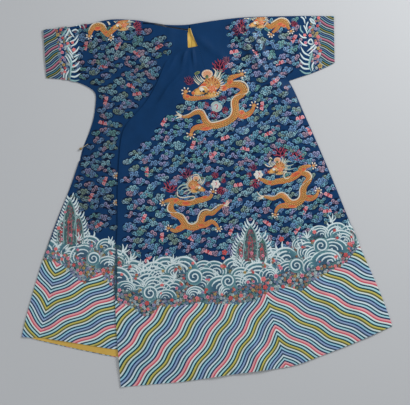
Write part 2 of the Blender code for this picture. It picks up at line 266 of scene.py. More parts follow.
# the stripes' top edge and the rocks' top edge
borders = {
    "frontStripes": [(112, 300), (130, 305), (148, 316), (160, 305), (185, 305), (200, 302), (235, 303),
        (255, 300), (266, 292), (290, 285), (300, 290), (315, 278), (330, 270), (345, 262), (358, 246)],
    "frontRocks": [(112, 244), (125, 248), (133, 260), (150, 268), (177, 262), (195, 266), (215, 266),
        (236, 262), (243, 232), (257, 232), (264, 255), (280, 258), (300, 243), (320, 228), (345, 225),
        (358, 236)],
    "innerStripes": [(36, 256), (60, 262), (75, 275), (85, 282), (100, 270), (116, 290)],
    "innerRocks": [(36, 240), (60, 236), (66, 205), (76, 205), (84, 232), (100, 240), (118, 246)],
    "backStripes": [(20, 262), (100, 290), (200, 300), (300, 290), (390, 262)],
    "backRocks": [(20, 236), (70, 252), (130, 262), (200, 250), (270, 262), (330, 250), (390, 236)],
}


def borderCurve(x, name):
    # height of a border over the width of the robe, both counted over the silk's span
    node = newNode("FloatCurve", x)
    line = node.mapping.curves[0]
    fitted = [[(place + silk["span"] / 2) / silk["span"] for place in spot(*p)]
              for p in borders[name]]
    line.points[0].location = fitted[0]
    line.points[-1].location = fitted[-1]
    for place in fitted[1:-1]:
        line.points.new(*place)
    node.mapping.extend = "HORIZONTAL"
    node.mapping.update()
    plug(node.inputs["Value"], calc("MULTIPLY_ADD", x, 1 / silk["span"], 0.5))
    return calc("MULTIPLY_ADD", node.outputs[0], silk["span"], -silk["span"] / 2)


def stripes(x, y, wobble, chevron):
    # colour and cord height of the water stripes round one chevron
    cx, cy = spot(*chevron["at"])
    leanX, leanY = heading(chevron["lean"])
    openX, openY = heading(chevron["opens"])
    dx, dy = calc("SUBTRACT", x, cx), calc("SUBTRACT", y, cy)
    up = calc("MULTIPLY_ADD", dx, leanX, calc("MULTIPLY", dy, leanY))
    aside = calc("MULTIPLY_ADD", dx, leanY, calc("MULTIPLY", dy, -leanX))
    aside = calc("ABSOLUTE", aside) if chevron["opens"] else aside
    bowed = calc("MULTIPLY_ADD", calc("MULTIPLY", aside, aside), silk["bow"],
                 calc("MULTIPLY", aside, openY))
    down = calc("MULTIPLY_ADD", bowed, -chevron["shape"], calc("MULTIPLY", up, -openX))
    along = calc("MULTIPLY_ADD", aside, openX, calc("MULTIPLY", up, -openY * chevron["shape"]))
    turns = calc("MULTIPLY_ADD", along, 2 * math.pi / silk["waveLength"] / chevron["scale"],
                 calc("MULTIPLY", wobble, silk["wobble"]))
    down = calc("MULTIPLY_ADD", calc("SINE", turns), silk["waveHeight"] * chevron["scale"], down)
    periods = calc("MULTIPLY", down, 1 / (silk["period"] * chevron["scale"]))
    threads = stripeThreads if chevron["opens"] else cuffThreads
    shade = ramp(calc("FRACT", periods), {i / len(threads): dye for i, dye in enumerate(threads)},
                 "CONSTANT")
    cord = calc("FRACT", calc("MULTIPLY", periods, len(threads)))
    return shade, calc("SINE", calc("MULTIPLY", cord, math.pi))


def rocks(coords):
    # small curling stones in mixed floss, each with a dark edge
    cells = cellsOf(coords, silk["rockScale"])
    edge = cellsOf(coords, silk["rockScale"], "DISTANCE_TO_EDGE").outputs["Distance"]
    pick = newNode("SeparateColor", coords)
    plug(pick.inputs[0], cells.outputs["Color"])
    shade = ramp(pick.outputs[0], rockDyes, "CONSTANT")
    return blendColour(ramp(edge, {0: 1, 0.09: 0}), shade, silk["rockEdge"]), edge


def cloudPrint(coords):
    # the back's clouds lie under the robe, so they are drawn as soft lobed cells
    cells = cellsOf(stretched(coords, (0.45, 1, 1)), silk["backCloudScale"])
    cells.inputs["Detail"].default_value = 1.0
    return ramp(cells.outputs["Distance"], {0: (52, 84, 108), 0.22: (84, 118, 134),
                                            0.36: (132, 160, 172), 0.44: silk["blueDeep"]})


def robeSilk(name, zone, cuff=None):
    # a silk with a cuff is one of the robe's halves, whose back lies lowest
    material, shader = newMaterial(name, 0.58, sheen=0.03, specular=0.08)
    coords, x, y, z = objectPlace(shader)
    wobble = noiseOf(coords, silk["wobbleScale"])
    mottle = noiseOf(coords, silk["mottleScale"], 4)
    thread = noiseOf(stretched(coords, (1, 0.16, 1)), silk["weave"], 1)
    weft = calc("MULTIPLY", thread, silk["weft"])
    ground = blendColour(mottle, silk["blueDeep"], silk["blue"])
    ground = blendColour(weft, ground, silk["blueWorn"])
    stone, stoneEdge = rocks(coords)

    def bordered(shade, height, zone):
        bands, cord = stripes(x, y, wobble, chevrons[zone])
        inRocks = calc("LESS_THAN", y, borderCurve(x, zone + "Rocks"))
        inStripes = calc("LESS_THAN", y, borderCurve(x, zone + "Stripes"))
        shade = blendColour(inStripes, blendColour(inRocks, shade, stone), bands)
        height = calc("MULTIPLY_ADD", inRocks, stoneEdge, height)
        return shade, calc("MULTIPLY_ADD", inStripes, cord, height)

    shade, height = bordered(ground, weft, zone)
    if cuff:
        bands, cord = stripes(x, y, wobble, chevrons[cuff])
        kind, limit, slope = chevrons[cuff]["limit"]
        inCuff = calc(kind, x, calc("MULTIPLY_ADD", y, slope, spot(limit, 0)[0]))
        inCuff = calc("MULTIPLY", inCuff, calc("GREATER_THAN", y, silk["cuffsFrom"]))
        shade = blendColour(inCuff, shade, bands)
        height = calc("MULTIPLY_ADD", inCuff, cord, height)
        inClouds = calc("LESS_THAN", y, silk["backCloudsTo"])
        backShade = blendColour(inClouds, ground, cloudPrint(coords))
        backShade, backHeight = bordered(backShade, weft, "back")
        backShade = blendColour(inCuff, backShade, bands)
        under = calc("LESS_THAN", z, silk["backBelow"])
        shade = blendColour(under, shade, backShade)
        height = calc("ADD", height, calc("MULTIPLY", under, backHeight))
    finishSurface(shader, shade, height, silk["cordHeight"], 0.6)
    return material


lining = {"deep": (184, 144, 38), "bright": (222, 182, 78), "thread": (226, 194, 122),
          "weave": 900, "weft": 0.25, "mottleScale": 14, "threadHeight": 0.2 * mm}


def liningSilk():
    material, shader = newMaterial("yellowLining", 0.42, sheen=0.3, specular=0.45)
    coords = objectPlace(shader)[0]
    thread = noiseOf(stretched(coords, (1, 0.15, 1)), lining["weave"], 1)
    shade = blendColour(noiseOf(coords, lining["mottleScale"], 3), lining["deep"], lining["bright"])
    shade = blendColour(calc("MULTIPLY", thread, lining["weft"]), shade, lining["thread"])
    finishSurface(shader, shade, thread, lining["threadHeight"], 0.5)
    return material


# cloth shells on the solids' own form
def selectOnly(*things):
    for other in bpy.context.view_layer.objects:
        other.select_set(False)
    for thing in things:
        thing.select_set(True)
    bpy.context.view_layer.objects.active = things[0]


def clothShell(node, pieceName, material, levels):
    piece = bpy.data.objects.new(pieceName, frame["nodes"][node].data.copy())
    bpy.context.scene.collection.objects.link(piece)
    selectOnly(piece)
    bpy.ops.mesh.customdata_custom_splitnormals_clear()
    bpy.ops.object.mode_set(mode="EDIT")
    bpy.ops.mesh.select_all(action="SELECT")
    bpy.ops.mesh.remove_doubles(threshold=0.02 * mm)
    bpy.ops.mesh.tris_convert_to_quads(face_threshold=math.radians(30),
                                       shape_threshold=math.radians(60))
    bpy.ops.mesh.select_all(action="DESELECT")
    bpy.ops.mesh.select_mode(type="EDGE")
    bpy.ops.mesh.edges_select_sharp(sharpness=math.radians(62))
    bpy.ops.transform.edge_crease(value=1)
    bpy.ops.object.mode_set(mode="OBJECT")
    finer = piece.modifiers.new("Finer", "SUBSURF")
    finer.levels = finer.render_levels = levels
    bpy.ops.object.modifier_apply(modifier=finer.name)
    piece.data.materials.clear()
    piece.data.materials.append(material)
    selectOnly(piece)
    bpy.ops.object.shade_smooth_by_angle(angle=math.radians(50))
    return piece


say("cloth shells")
overlap = clothShell("front_overlap", "silk_overlap", robeSilk("overlapSilk", "front"), 2)
leftHalf = clothShell("body_left", "silk_left_half", robeSilk("leftHalfSilk", "front", "rightCuff"), 2)
rightHalf = clothShell("body_right", "silk_right_half",
                       robeSilk("rightHalfSilk", "inner", "leftCuff"), 2)
yellow = liningSilk()
liningLeft = clothShell("lining_left", "lining_left_half", yellow, 1)
liningRight = clothShell("lining_right", "lining_right_half", yellow, 1)
# soft creases: middle, length and width in squares, direction in degrees, height in mm
creases = [(193.5, 58, 8, 1.5, -84, 2.8), (184, 57, 7.5, 1.9, -104, 2.6), (190, 68, 10, 3, -100, 1.4),
    (170, 86, 16, 1.8, 50, 1.6), (177, 78, 13, 1.6, 48, 1.5), (161, 100, 13, 1.8, 56, 1.6),
    (168, 50, 12, 2.4, -116, 2), (166, 36, 10, 2.4, 24, 1.6), (172, 64, 10, 2.2, 62, 1.4),
    (208, 47, 16, 4, -40, 1.8), (224, 62, 16, 4, -62, 1.6), (244, 40, 15, 2.8, -58, 4),
    (253, 37, 14, 2.6, -56, 3.4), (256, 60, 16, 2.8, -54, 3.8), (265, 56, 15, 2.8, -52, 3),
    (276, 84, 16, 4.5, -34, 3), (300, 40, 13, 5, -80, 2), (290, 104, 20, 6, -70, 2.2),
    (238, 130, 26, 7, -76, 2), (204, 150, 24, 7, -84, 1.6), (160, 170, 26, 6, -92, 2),
    (140, 215, 28, 5, -88, 1.8), (184, 262, 30, 7, -82, 2.2), (222, 300, 26, 6, -78, 2.6),
    (256, 352, 20, 5, -66, 3), (150, 350, 22, 6, -95, 2.4), (190, 366, 16, 5, -84, 2.8),
    (300, 250, 30, 7, -64, 2.4), (330, 300, 26, 6, -60, 2.6), (362, 318, 18, 5, -58, 2.2),
    (282, 200, 24, 7, -72, 1.8), (312, 190, 22, 6, -66, 2), (128, 352, 16, 4, -86, 2),
    (272, 330, 20, 6, -70, 2), (236, 372, 12, 4.5, -70, 2.4), (166, 44, 8, 3.5, -112, 2.4),
    (140, 60, 14, 5, -70, 2.2), (112, 58, 13, 4.5, -60, 2.4), (92, 42, 12, 5, -82, 2),
    (70, 60, 12, 4, -95, 1.8), (104, 96, 18, 5, -80, 2.2), (122, 110, 14, 4, -72, 1.6),
    (98, 150, 20, 5, -96, 2), (104, 200, 22, 5, -92, 2), (92, 250, 22, 5, -98, 2.4),
    (72, 290, 24, 6, -104, 2.4), (98, 320, 18, 5, -92, 2), (56, 318, 14, 4, -106, 2.2)]
puff = {"edge": (0, 12 * mm), "layers": (1.6 * mm, 3 * mm), "rise": 2.2 * mm, "fold": 2.5,
        "bow": 0.12, "grain": 5.5, "lapClear": (14 * mm, 44 * mm)}
# the overlap's free edge stands off the inner front, and its hem off the floor in two places
lifted = {"height": 3.2 * mm, "reach": (4 * mm, 34 * mm), "fade": (52, 84),
          "hem": [(216, 377, 11, 9, 3.6), (243, 373, 7, 8, 2.8)]}
lapLine = [spot(*p) for p in (
    (188, 48), (178, 52), (170, 57), (165, 63), (159, 79), (149, 98), (137, 113), (126, 124),
    (122, 135), (120, 150), (118.5, 175), (117.6, 230), (116.4, 252), (114.6, 285), (116.5, 330),
    (121, 390))]
centreSeam = [spot(*p) for p in ((198, 46), (210.3, 90), (237, 193.3), (249.2, 235),
                                (265.9, 293.9), (285, 367.7))]


def lineX(line, y):
    return np.interp(-y, [-p[1] for p in line], [p[0] for p in line])


def smoothShare(low, high, value):
    t = np.clip((value - low) / (high - low), 0, 1)
    return t * t * (3 - 2 * t)


def readPoints(mesh):
    flat = np.empty(len(mesh.vertices) * 3)
    mesh.vertices.foreach_get("co", flat)
    return flat.reshape(-1, 3)


def placePoints(mesh, points):
    mesh.vertices.foreach_set("co", points.ravel())
    mesh.update()


def atSeam(place):
    return place.y < centreSeam[0][1] and abs(place.x - lineX(centreSeam, place.y)) < 5 * mm


def rimDistance(mesh, points):
    # how far each point is from the nearest sharp edge, where the cloth stays on its form;
    # the centre seam doesn't count, so that its two sides rise together
    ends = set()
    for edge, sharp in zip(mesh.edges, mesh.attributes["crease_edge"].data):
        if sharp.value > 0.5:
            ends.update(i for i in edge.vertices if not atSeam(mesh.vertices[i].co))
    tree = KDTree(len(ends))
    for i in ends:
        tree.insert(mesh.vertices[i].co, i)
    tree.balance()
    return np.array([tree.find(p)[2] for p in points])


def layFolds(piece, underLap=False):
    points = readPoints(piece.data)
    x, y, z = points.T
    rise = np.zeros(len(points))
    for col, row, length, width, turn, height in creases:
        cx, cy = spot(col, row)
        ux, uy = heading(turn)
        along = (x - cx) * ux + (y - cy) * uy
        across = (y - cy) * ux - (x - cx) * uy
        across += puff["bow"] * along ** 2 / square(length) * math.cos(col)
        far = (along / length) ** 2 + (across / width) ** 2
        rise += puff["fold"] * height * mm * np.exp(-far / layout["square"] ** 2)
    rise += puff["rise"] * np.array([0.5 + noise.noise(Vector((px, py, 0)) * puff["grain"])
                                     for px, py in zip(x, y)])
    rise *= smoothShare(*puff["edge"], rimDistance(piece.data, points))
    rise *= smoothShare(*puff["layers"], z)
    if underLap:
        clear = smoothShare(*puff["lapClear"], lineX(lapLine, y) - x)
        rise *= np.where(y < lapLine[0][1], clear, 1)
    points[:, 2] += np.maximum(rise, 0)
    placePoints(piece.data, points)


def liftEdges(piece):
    points = readPoints(piece.data)
    x, y, _ = points.T
    lift = lifted["height"] * (1 - smoothShare(*lifted["reach"], x - lineX(lapLine, y)))
    lift *= smoothShare(*lifted["fade"], layout["middleRow"] - y / layout["square"])
    for col, row, wide, tall, height in lifted["hem"]:
        cx, cy = spot(col, row)
        far = (((x - cx) / wide) ** 2 + ((y - cy) / tall) ** 2) / layout["square"] ** 2
        lift += height * mm * np.exp(-far)
    points[:, 2] += lift
    placePoints(piece.data, points)


layFolds(overlap)
layFolds(leftHalf)
layFolds(rightHalf, underLap=True)
liftEdges(overlap)
say("folds laid")
for piece, node, slotName in ((overlap, "front_overlap", "blue_silk"),
                              (leftHalf, "body_left", "blue_silk"),
                              (rightHalf, "body_right", "blue_silk"),
                              (liningLeft, "lining_left", "yellow_lining"),
                              (liningRight, "lining_right", "yellow_lining")):
    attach(piece, "root")
    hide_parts(node)
    print(piece.name, len(piece.data.polygons))

# embroidery floss; the dark discs under clouds, bats and flames, partly painted shade, have neither sheen
# nor much shine
floss = {"roughness": 0.36, "sheen": 0.25, "threadsRound": 40, "threadsAcross": 120,
         "dyeScale": 60, "mottle": 0.7, "deepest": 0.72, "threadHeight": 0.12 * mm}
inShadow = {"sheen": 0.0, "specular": 0.1}


def newFloss(name, sheen=floss["sheen"], specular=0.5):
    return newMaterial(name, floss["roughness"], sheen, specular=specular)


def stitchUv(shader):
    node = newNode("UVMap", shader)
    node.uv_map = "UVMap"
    split = newNode("SeparateXYZ", shader)
    plug(split.inputs[0], node.outputs[0])
    return split.outputs[:2]


def polar(shader):
    u, v = stitchUv(shader)
    du, dv = calc("MULTIPLY_ADD", u, 2, -1), calc("MULTIPLY_ADD", v, 2, -1)
    radius = calc("SQRT", calc("MULTIPLY_ADD", du, du, calc("MULTIPLY", dv, dv)))
    return radius, calc("ARCTAN2", dv, du)


def threadsOver(value, count):
    return calc("SINE", calc("MULTIPLY", value, count))


def finishFloss(shader, shade, ridge):
    # mottles the dye a little and lays the threads as fine ridges
    dye = noiseOf(objectPlace(shader)[0], floss["dyeScale"])
    deep = deepened(shade, floss["deepest"])
    shade = blendColour(calc("MULTIPLY", dye, floss["mottle"]), shade, deep)
    finishSurface(shader, shade, ridge, floss["threadHeight"], 0.5)


def discFloss(name, stops, **shine):
    # shaded from the middle to the rim, with the threads laid outwards
    material, shader = newFloss(name, **shine)
    radius, angle = polar(shader)
    finishFloss(shader, ramp(radius, stops), threadsOver(angle, floss["threadsRound"]))
    return material


def curlFloss(name, stops, turns):
    # a coil that winds from the rim to the middle
    material, shader = newFloss(name)
    radius, angle = polar(shader)
    coil = calc("MULTIPLY_ADD", radius, turns, calc("MULTIPLY", angle, 0.5 / math.pi))
    finishFloss(shader, ramp(calc("FRACT", coil), stops), threadsOver(coil, floss["threadsRound"]))
    return material


def strokeFloss(name, stops):
    # shaded from one side of a stroke to the other, with the threads laid across
    material, shader = newFloss(name)
    u, v = stitchUv(shader)
    finishFloss(shader, ramp(v, stops), threadsOver(u, floss["threadsAcross"]))
    return material


def rayFloss(name, rays, pale, dark, rim):
    # threads of two dyes laid outwards in turn
    material, shader = newFloss(name)
    radius, angle = polar(shader)
    shade = blendColour(calc("MULTIPLY_ADD", threadsOver(angle, rays), 0.5, 0.5), pale, dark)
    shade = blendColour(ramp(radius, {0.6: 0, 1: 1}), shade, rim)
    finishFloss(shader, shade, threadsOver(angle, floss["threadsRound"]))
    return material


# a dragon's scales: rows across its body, their length, and where the gold turns warmer
scales = {"rows": 4, "along": 1.6, "warmScale": 130, "warm": {0.48: 0, 0.62: 0.6},
          "belly": {0: 0.75, 0.16: 0.6, 0.34: 0}}


def scaleFloss(name, pale, dark, belly):
    # couched gold laid in rows of scales, with a warmer belly side
    material, shader = newMaterial(name, 0.34, 0.2, metallic=0.15)
    u, v = stitchUv(shader)
    row = calc("MULTIPLY", v, scales["rows"])
    odd = calc("MULTIPLY", calc("FLOOR", row), 0.5)
    du = calc("FRACT", calc("MULTIPLY_ADD", u, scales["along"], odd))
    du = calc("MULTIPLY_ADD", du, 2, -1)
    dv = calc("MULTIPLY_ADD", calc("FRACT", row), 1.2, -0.2)
    bow = calc("SQRT", calc("MULTIPLY_ADD", du, du, calc("MULTIPLY", dv, dv)))
    gold = ramp(bow, {0: dark, 0.22: pale, 0.6: pale, 0.82: dark, 1: dark})
    warm = noiseOf(objectPlace(shader)[0], scales["warmScale"], 3)
    gold = blendColour(ramp(warm, scales["warm"]), gold, belly)
    finishFloss(shader, blendColour(ramp(v, scales["belly"]), gold, belly), bow)
    return material


# pattern pieces: only their copies are used
def putAway(piece):
    bpy.context.scene.collection.objects.unlink(piece)
    return piece


def freshMesh(name, material):
    piece = bpy.context.object
    piece.name = name
    piece.data.name = name
    piece.data.materials.append(material)
    return piece


def smoothFaces(mesh):
    mesh.polygons.foreach_set("use_smooth", [True] * len(mesh.polygons))


def makeDisc(name, sides, rings=1, dents=0.0):
    # a crowned round of stitches, one unit in radius; dents makes it a blossom
    bpy.ops.object.select_all(action="DESELECT")
    bpy.ops.mesh.primitive_circle_add(vertices=sides, radius=1, fill_type="NOTHING")
    disc = freshMesh(name, None)
    mesh = disc.data
    bpy.ops.object.mode_set(mode="EDIT")
    bpy.ops.mesh.select_all(action="SELECT")
    for ring in range(rings, 0, -1):
        bpy.ops.mesh.extrude_region_move()
        shrink = (ring - 1) / ring if ring > 1 else 0
        bpy.ops.transform.resize(value=(shrink, shrink, 1))
    bpy.ops.mesh.remove_doubles(threshold=0.001)
    bpy.ops.object.mode_set(mode="OBJECT")
    for i, vert in enumerate(mesh.vertices):
        out = math.hypot(vert.co.x, vert.co.y)
        if dents and out > 0.99 and i % 2:
            vert.co.xy *= 1 - dents
        vert.co.z = 1 - out * out
    while mesh.uv_layers:
        mesh.uv_layers.remove(mesh.uv_layers[0])
    places = mesh.uv_layers.new(name="UVMap").data
    for loop, place in zip(mesh.loops, places):
        point = mesh.vertices[loop.vertex_index].co
        place.uv = (0.5 + point.x / 2, 0.5 + point.y / 2)
    smoothFaces(mesh)
    return putAway(disc)


def smoothLine(points, count):
    # evenly spaced places on a smooth curve through the points, as complex numbers
    line = np.array([complex(*spot(*p)) for p in points])
    line = np.concatenate(([2 * line[0] - line[1]], line, [2 * line[-1] - line[-2]]))
    run = []
    for i in range(1, len(line) - 2):
        t = np.linspace(0, 1, 12, endpoint=False)
        a, b, c, d = line[i - 1:i + 3]
        run.append(0.5 * (2 * b + (c - a) * t + (2 * a - 5 * b + 4 * c - d) * t ** 2
                          + (3 * b - a - 3 * c + d) * t ** 3))
    run = np.concatenate(run + [line[-2:-1]])
    gone = np.concatenate(([0], np.cumsum(np.abs(np.diff(run)))))
    return shareOut(run, gone, np.linspace(0, gone[-1], count + 1)), gone[-1]


def shareOut(values, places, wanted):
    return np.interp(wanted, places, values.real) + 1j * np.interp(wanted, places, values.imag)


def stroke(name, points, widths, material, step=2.2, across=2, crown=0.7, seat=0.0):
    # a raised band of stitches along a curve; widths in squares run from its start to its end
    length = smoothLine(points, 8)[1]
    cells = max(2, round(length / square(step)))
    bpy.ops.object.select_all(action="DESELECT")
    bpy.ops.mesh.primitive_grid_add(x_subdivisions=cells, y_subdivisions=across, size=1)
    band = freshMesh(name, material)
    flat = readPoints(band.data)
    share, side = flat[:, 0] + 0.5, flat[:, 1] * 2
    fine = cells * 4
    line = smoothLine(points, fine)[0]
    way = np.gradient(line)
    way /= np.abs(way)
    steps = np.arange(fine + 1) / fine
    turn = shareOut(way, steps, share)
    wide = square(np.interp(share, np.linspace(0, 1, len(widths)), widths)) / 2
    at = shareOut(line, steps, share) + 1j * turn / np.abs(turn) * side * wide
    ends = np.clip(np.minimum(share, 1 - share) * cells, 0, 1)
    height = seat * mm + crown * mm * (1 - side ** 2) * ends - 0.05 * mm
    placePoints(band.data, np.stack([at.real, at.imag, height], 1))
    u = share * length / (10 * mm)
    v = side / 2 + 0.5
    for loop, place in zip(band.data.loops, band.data.uv_layers[0].data):
        place.uv = (u[loop.vertex_index], v[loop.vertex_index])
    smoothFaces(band.data)
    return putAway(band)


def joined(name, parts):
    for part in parts:
        bpy.context.scene.collection.objects.link(part)
    selectOnly(*parts)
    if len(parts) > 1:
        bpy.ops.object.join()
    whole = bpy.context.view_layer.objects.active
    whole.name = name
    return whole


def motif(name, parts):
    return putAway(joined(name, parts))


def stamp(base, x, y, size, turn=0.0, wide=1.0, rise=1.0, seat=0.0, flip=False, material=None):
    # a copy of a pattern piece with its own mesh, at a place in metres
    copy = base.copy()
    copy.data = base.data.copy()
    mirror = -1 if flip else 1
    copy.data.transform(Matrix.Translation((x, y, seat * mm))
                        @ Matrix.Rotation(math.radians(turn), 4, "Z")
                        @ Matrix.Diagonal((size * wide * mirror, size, rise, 1)))
    if material:
        copy.data.materials[0] = material
    return copy


def stampAt(base, col, row, size, rise=0.6, **how):
    return stamp(base, *spot(col, row), square(size), rise=rise * mm, **how)


def stampWhole(base, col, row, scale=1.0, turn=0.0, flip=False, seat=0.0, wide=1.0):
    # a copy of a finished motif, kept at its own thickness
    return stamp(base, *spot(col, row), scale, turn, wide, seat=seat, flip=flip)


# sewing: the height to look down from, how far aside cloth still counts, a height near the cloth
drape = {"from": 0.2, "aside": (0, 1.3 * mm, -1.3 * mm), "near": 6 * mm}


def clothTop(shells):
    trees = [BVHTree.FromPolygons([v.co for v in shell.data.vertices],
                                  [p.vertices[:] for p in shell.data.polygons])
             for shell in shells]

    def top(x, y):
        hits = [tree.ray_cast(Vector((x + dx, y, drape["from"])), Vector((0, 0, -1)))[0]
                for tree in trees for dx in drape["aside"]]
        heights = [hit.z for hit in hits if hit]
        if heights:
            return max(heights)
        return min((tree.find_nearest(Vector((x, y, drape["near"]))) for tree in trees),
                   key=lambda found: found[3])[0].z
    return top


def bisected(start, end):
    # cuts the active piece along a line in metres and drops what lies on its right
    (ax, ay), (bx, by) = start, end
    bpy.ops.object.mode_set(mode="EDIT")
    bpy.ops.mesh.select_all(action="SELECT")
    bpy.ops.mesh.bisect(plane_co=(ax, ay, 0), plane_no=(ay - by, bx - ax, 0), clear_inner=True)
    bpy.ops.object.mode_set(mode="OBJECT")


def sewOn(name, parts, shells, cuts=()):
    # joins stitched parts into one piece, trims it at the seams and lays it on the cloth
    piece = joined(name, parts)
    mesh = piece.data
    mesh.name = name
    for start, end in cuts:
        bisected(spot(*start), spot(*end))
    top = clothTop(shells)
    for vert in mesh.vertices:
        vert.co.z += top(vert.co.x, vert.co.y)
    mesh.update()
    turned = bmesh.new()
    turned.from_mesh(mesh)
    bmesh.ops.reverse_faces(turned, faces=[f for f in turned.faces if f.normal.z < 0])
    turned.to_mesh(mesh)
    turned.free()
    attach(piece, "root")
    print(name, len(mesh.polygons))
    return piece


def middle(x, y):
    # a place round the middle of the layout, for pattern pieces
    return layout["middleCol"] + x, layout["middleRow"] - y


def home(points):
    return [middle(*p) for p in points]


# clouds; room is how far other work stays off and how far the cloth reaches aside and up;
# those above sleeveTo belong to the outer sleeve; paintedShade darkens the inner front's floss as painted
# shade
cloud = {"sides": 9, "rise": 0.45, "wide": 1.06, "size": (0.9, 1.06), "tilt": 11,
         "start": (200, 130), "rows": (-45, 60), "cols": (-45, 45), "rowStep": 6.8, "colStep": 10.9,
         "step": 1.7, "jitter": (1.1, 0.88), "roundTo": 110, "round": 0.65, "roundBelow": 0.3,
         "room": (2.3, 5.5, 3.2), "smallRoom": (0.8, 2.6, 1.6), "smallSize": (0.85, 1.1),
         "fillRows": (14, 260), "fillSize": (0.9, 1.15), "apart": (8.8, 5.4), "sleeveTo": 92,
         "paintedShade": 0.66}
cloudDyes = {
    "teal": ((8, 36, 66), (30, 86, 116), (106, 168, 192)),
    "steel": ((8, 34, 72), (34, 80, 128), (108, 154, 198)),
    "grey": ((12, 40, 64), (50, 90, 112), (140, 174, 186)),
    "lilac": ((18, 34, 74), (64, 80, 126), (150, 152, 194)),
    "green": ((8, 40, 60), (32, 92, 102), (104, 164, 162)),
    "aqua": ((10, 46, 80), (50, 112, 138), (148, 194, 204)),
    "rose": ((28, 36, 68), (80, 76, 112), (176, 144, 164)),
    "olive": ((12, 40, 58), (52, 88, 94), (132, 158, 144)),
}
# lobes of each kind: place, width and height
cloudLobes = [[(-2.7, 1, 2.4, 2.2), (1.1, 1.9, 2.5, 2.1), (3.2, -0.6, 2.2, 2.1), (-0.4, -1.9, 2.6, 1.9)],
    [(-2.5, 1.5, 2.4, 2), (2.3, 1.6, 2.4, 2), (-2.8, -1.5, 2.2, 1.8), (2.9, -1.4, 2.2, 1.8),
     (0, -0.2, 1.9, 2)],
    [(-3.3, 0.3, 2, 2.5), (-0.3, 0.9, 1.9, 2.8), (2.7, 0.4, 1.9, 2.4), (-0.6, -2.2, 2.7, 1.3)],
    [(-4.2, -0.4, 2.1, 1.8), (-1.4, 1.2, 2.3, 1.9), (2.2, 1.1, 2.3, 1.9), (4.6, -0.6, 1.8, 1.5),
     (0.6, -1.7, 2.7, 1.4)],
    [(-3.5, 0.8, 2.4, 2), (0.2, 1.5, 2, 1.9), (3.6, 0.6, 2.4, 1.9), (-1.6, -1.7, 2.3, 1.4),
     (2.2, -1.7, 2.2, 1.3)],
    [(-4.7, 0.4, 2, 1.6), (-1.9, -0.9, 2.3, 1.8), (0.6, 1.2, 2.4, 1.9), (4, -0.4, 2.3, 1.8)],
    [(-1.8, 0.2, 2.1, 1.9), (1.7, 0.5, 2.1, 1.9), (0.2, -1.5, 2, 1.2)]]
roundClouds, longClouds, smallCloud = (0, 1, 2), (3, 4, 5), 6


def cloudFloss(name, deep, mid, pale):
    # each curl winds from a dark middle, in loops of pale couched floss
    return curlFloss(name, {0: deep, 0.2: deep, 0.34: mid, 0.46: pale, 0.8: pale, 0.9: mid,
                            1: deep}, 1.05)


say("floss and motifs")
round9 = makeDisc("round9", cloud["sides"])
round16 = makeDisc("round16", 16, rings=2)
# dark discs under every cloud and bat: their dark outline, with painted shade in the gaps round them
cloudShadeDisc = discFloss("cloudShade", {0: (5, 24, 50), 0.75: (6, 28, 58), 1: (10, 42, 82)}, **inShadow)
cloudFlosses = {name: cloudFloss("cloud_" + name, *dyes) for name, dyes in cloudDyes.items()}
mates = ["teal", "steel", "grey", "lilac", "teal", "aqua", "steel", "rose", "teal", "green",
         "steel", "olive"]
cloudMotifs = []  # by shape, then by dye
for lobes in cloudLobes:
    family = []
    reach = max(abs(x) + wide for x, _, wide, _ in lobes) + 0.5
    deep = max(abs(y) + tall for _, y, _, tall in lobes) + 0.6
    for own, mate in zip(mates, mates[3:] + mates[:3]):
        parts = [stampAt(round16, *middle(0, 0), deep, wide=reach / deep, seat=-0.05, rise=0.18,
                         material=cloudShadeDisc)]
        for i, (x, y, wide, tall) in enumerate(lobes):
            parts.append(stampAt(round9, *middle(x, y), tall, wide=wide / tall, turn=50 * i,
                                 seat=0.24 + 0.1 * i, rise=cloud["rise"],
                                 material=cloudFlosses[own if i % 3 else mate]))
        family.append(motif("cloud", parts))
    cloudMotifs.append(family)

batRed = discFloss("batRed", {0: (140, 28, 46), 0.6: (190, 52, 70), 1: (216, 110, 124)})
batPink = discFloss("batPink", {0: (190, 66, 88), 0.36: (216, 116, 130), 0.6: (232, 180, 184),
                                1: (214, 138, 150)})


def makeBat():
    wing = ((3.0, 0.3, 1.9, 2.1), (1.7, -1.1, 1.2, 1.0), (4.3, -0.9, 1.0, 0.9))
    lobes = [(0, 0, 5.4, 3.2, cloudShadeDisc)]
    lobes += [(side * x, y, wide, tall, batPink) for x, y, wide, tall in wing for side in (-1, 1)]
    lobes += [(0, 0.1, 1.25, 1.7, batRed), (0, 1.7, 0.8, 0.8, batRed)]
    return motif("bat", [stampAt(round9, *middle(x, y), tall, wide=wide / tall, seat=0.09 * i,
                                 rise=0.5 if i else 0.2, material=shade)
                         for i, (x, y, wide, tall, shade) in enumerate(lobes)])


batMotif = makeBat()
# bats; those left of lapCol, or left of sleeveCol and above sleeveRow, lie on the inner front
bat = {"size": 0.88, "room": 2.2, "lapCol": 119, "sleeveCol": 165, "sleeveRow": 100}
# column, row, turn
batPlaces = [(86, 46, 80), (118, 46, 60), (159, 47, 30), (137, 54, -40), (103, 67, 5), (131, 86, -20),
    (137, 94, 8), (106, 101, 75), (103, 123, -15), (91, 197, 60), (105, 181, 70), (99, 225, 30),
    (164, 122, 60), (193, 145, 70), (147, 172, 90), (144, 218, 65), (162, 237, 85), (190, 238, -30),
    (148, 259, 45), (234, 52, 10), (256, 53, -50), (294, 39, 60), (280, 63, 20), (274, 82, 35),
    (262, 106, 85), (309, 131, -60), (225, 138, 20), (245, 149, -10), (213, 155, 40), (238, 185, 10),
    (328, 195, -25), (208, 252, -25), (231, 231, 70), (267, 223, -35), (305, 210, 60), (297, 230, 55),
    (327, 211, 5), (225, 204, 40), (300, 118, 15), (268, 134, 25)]

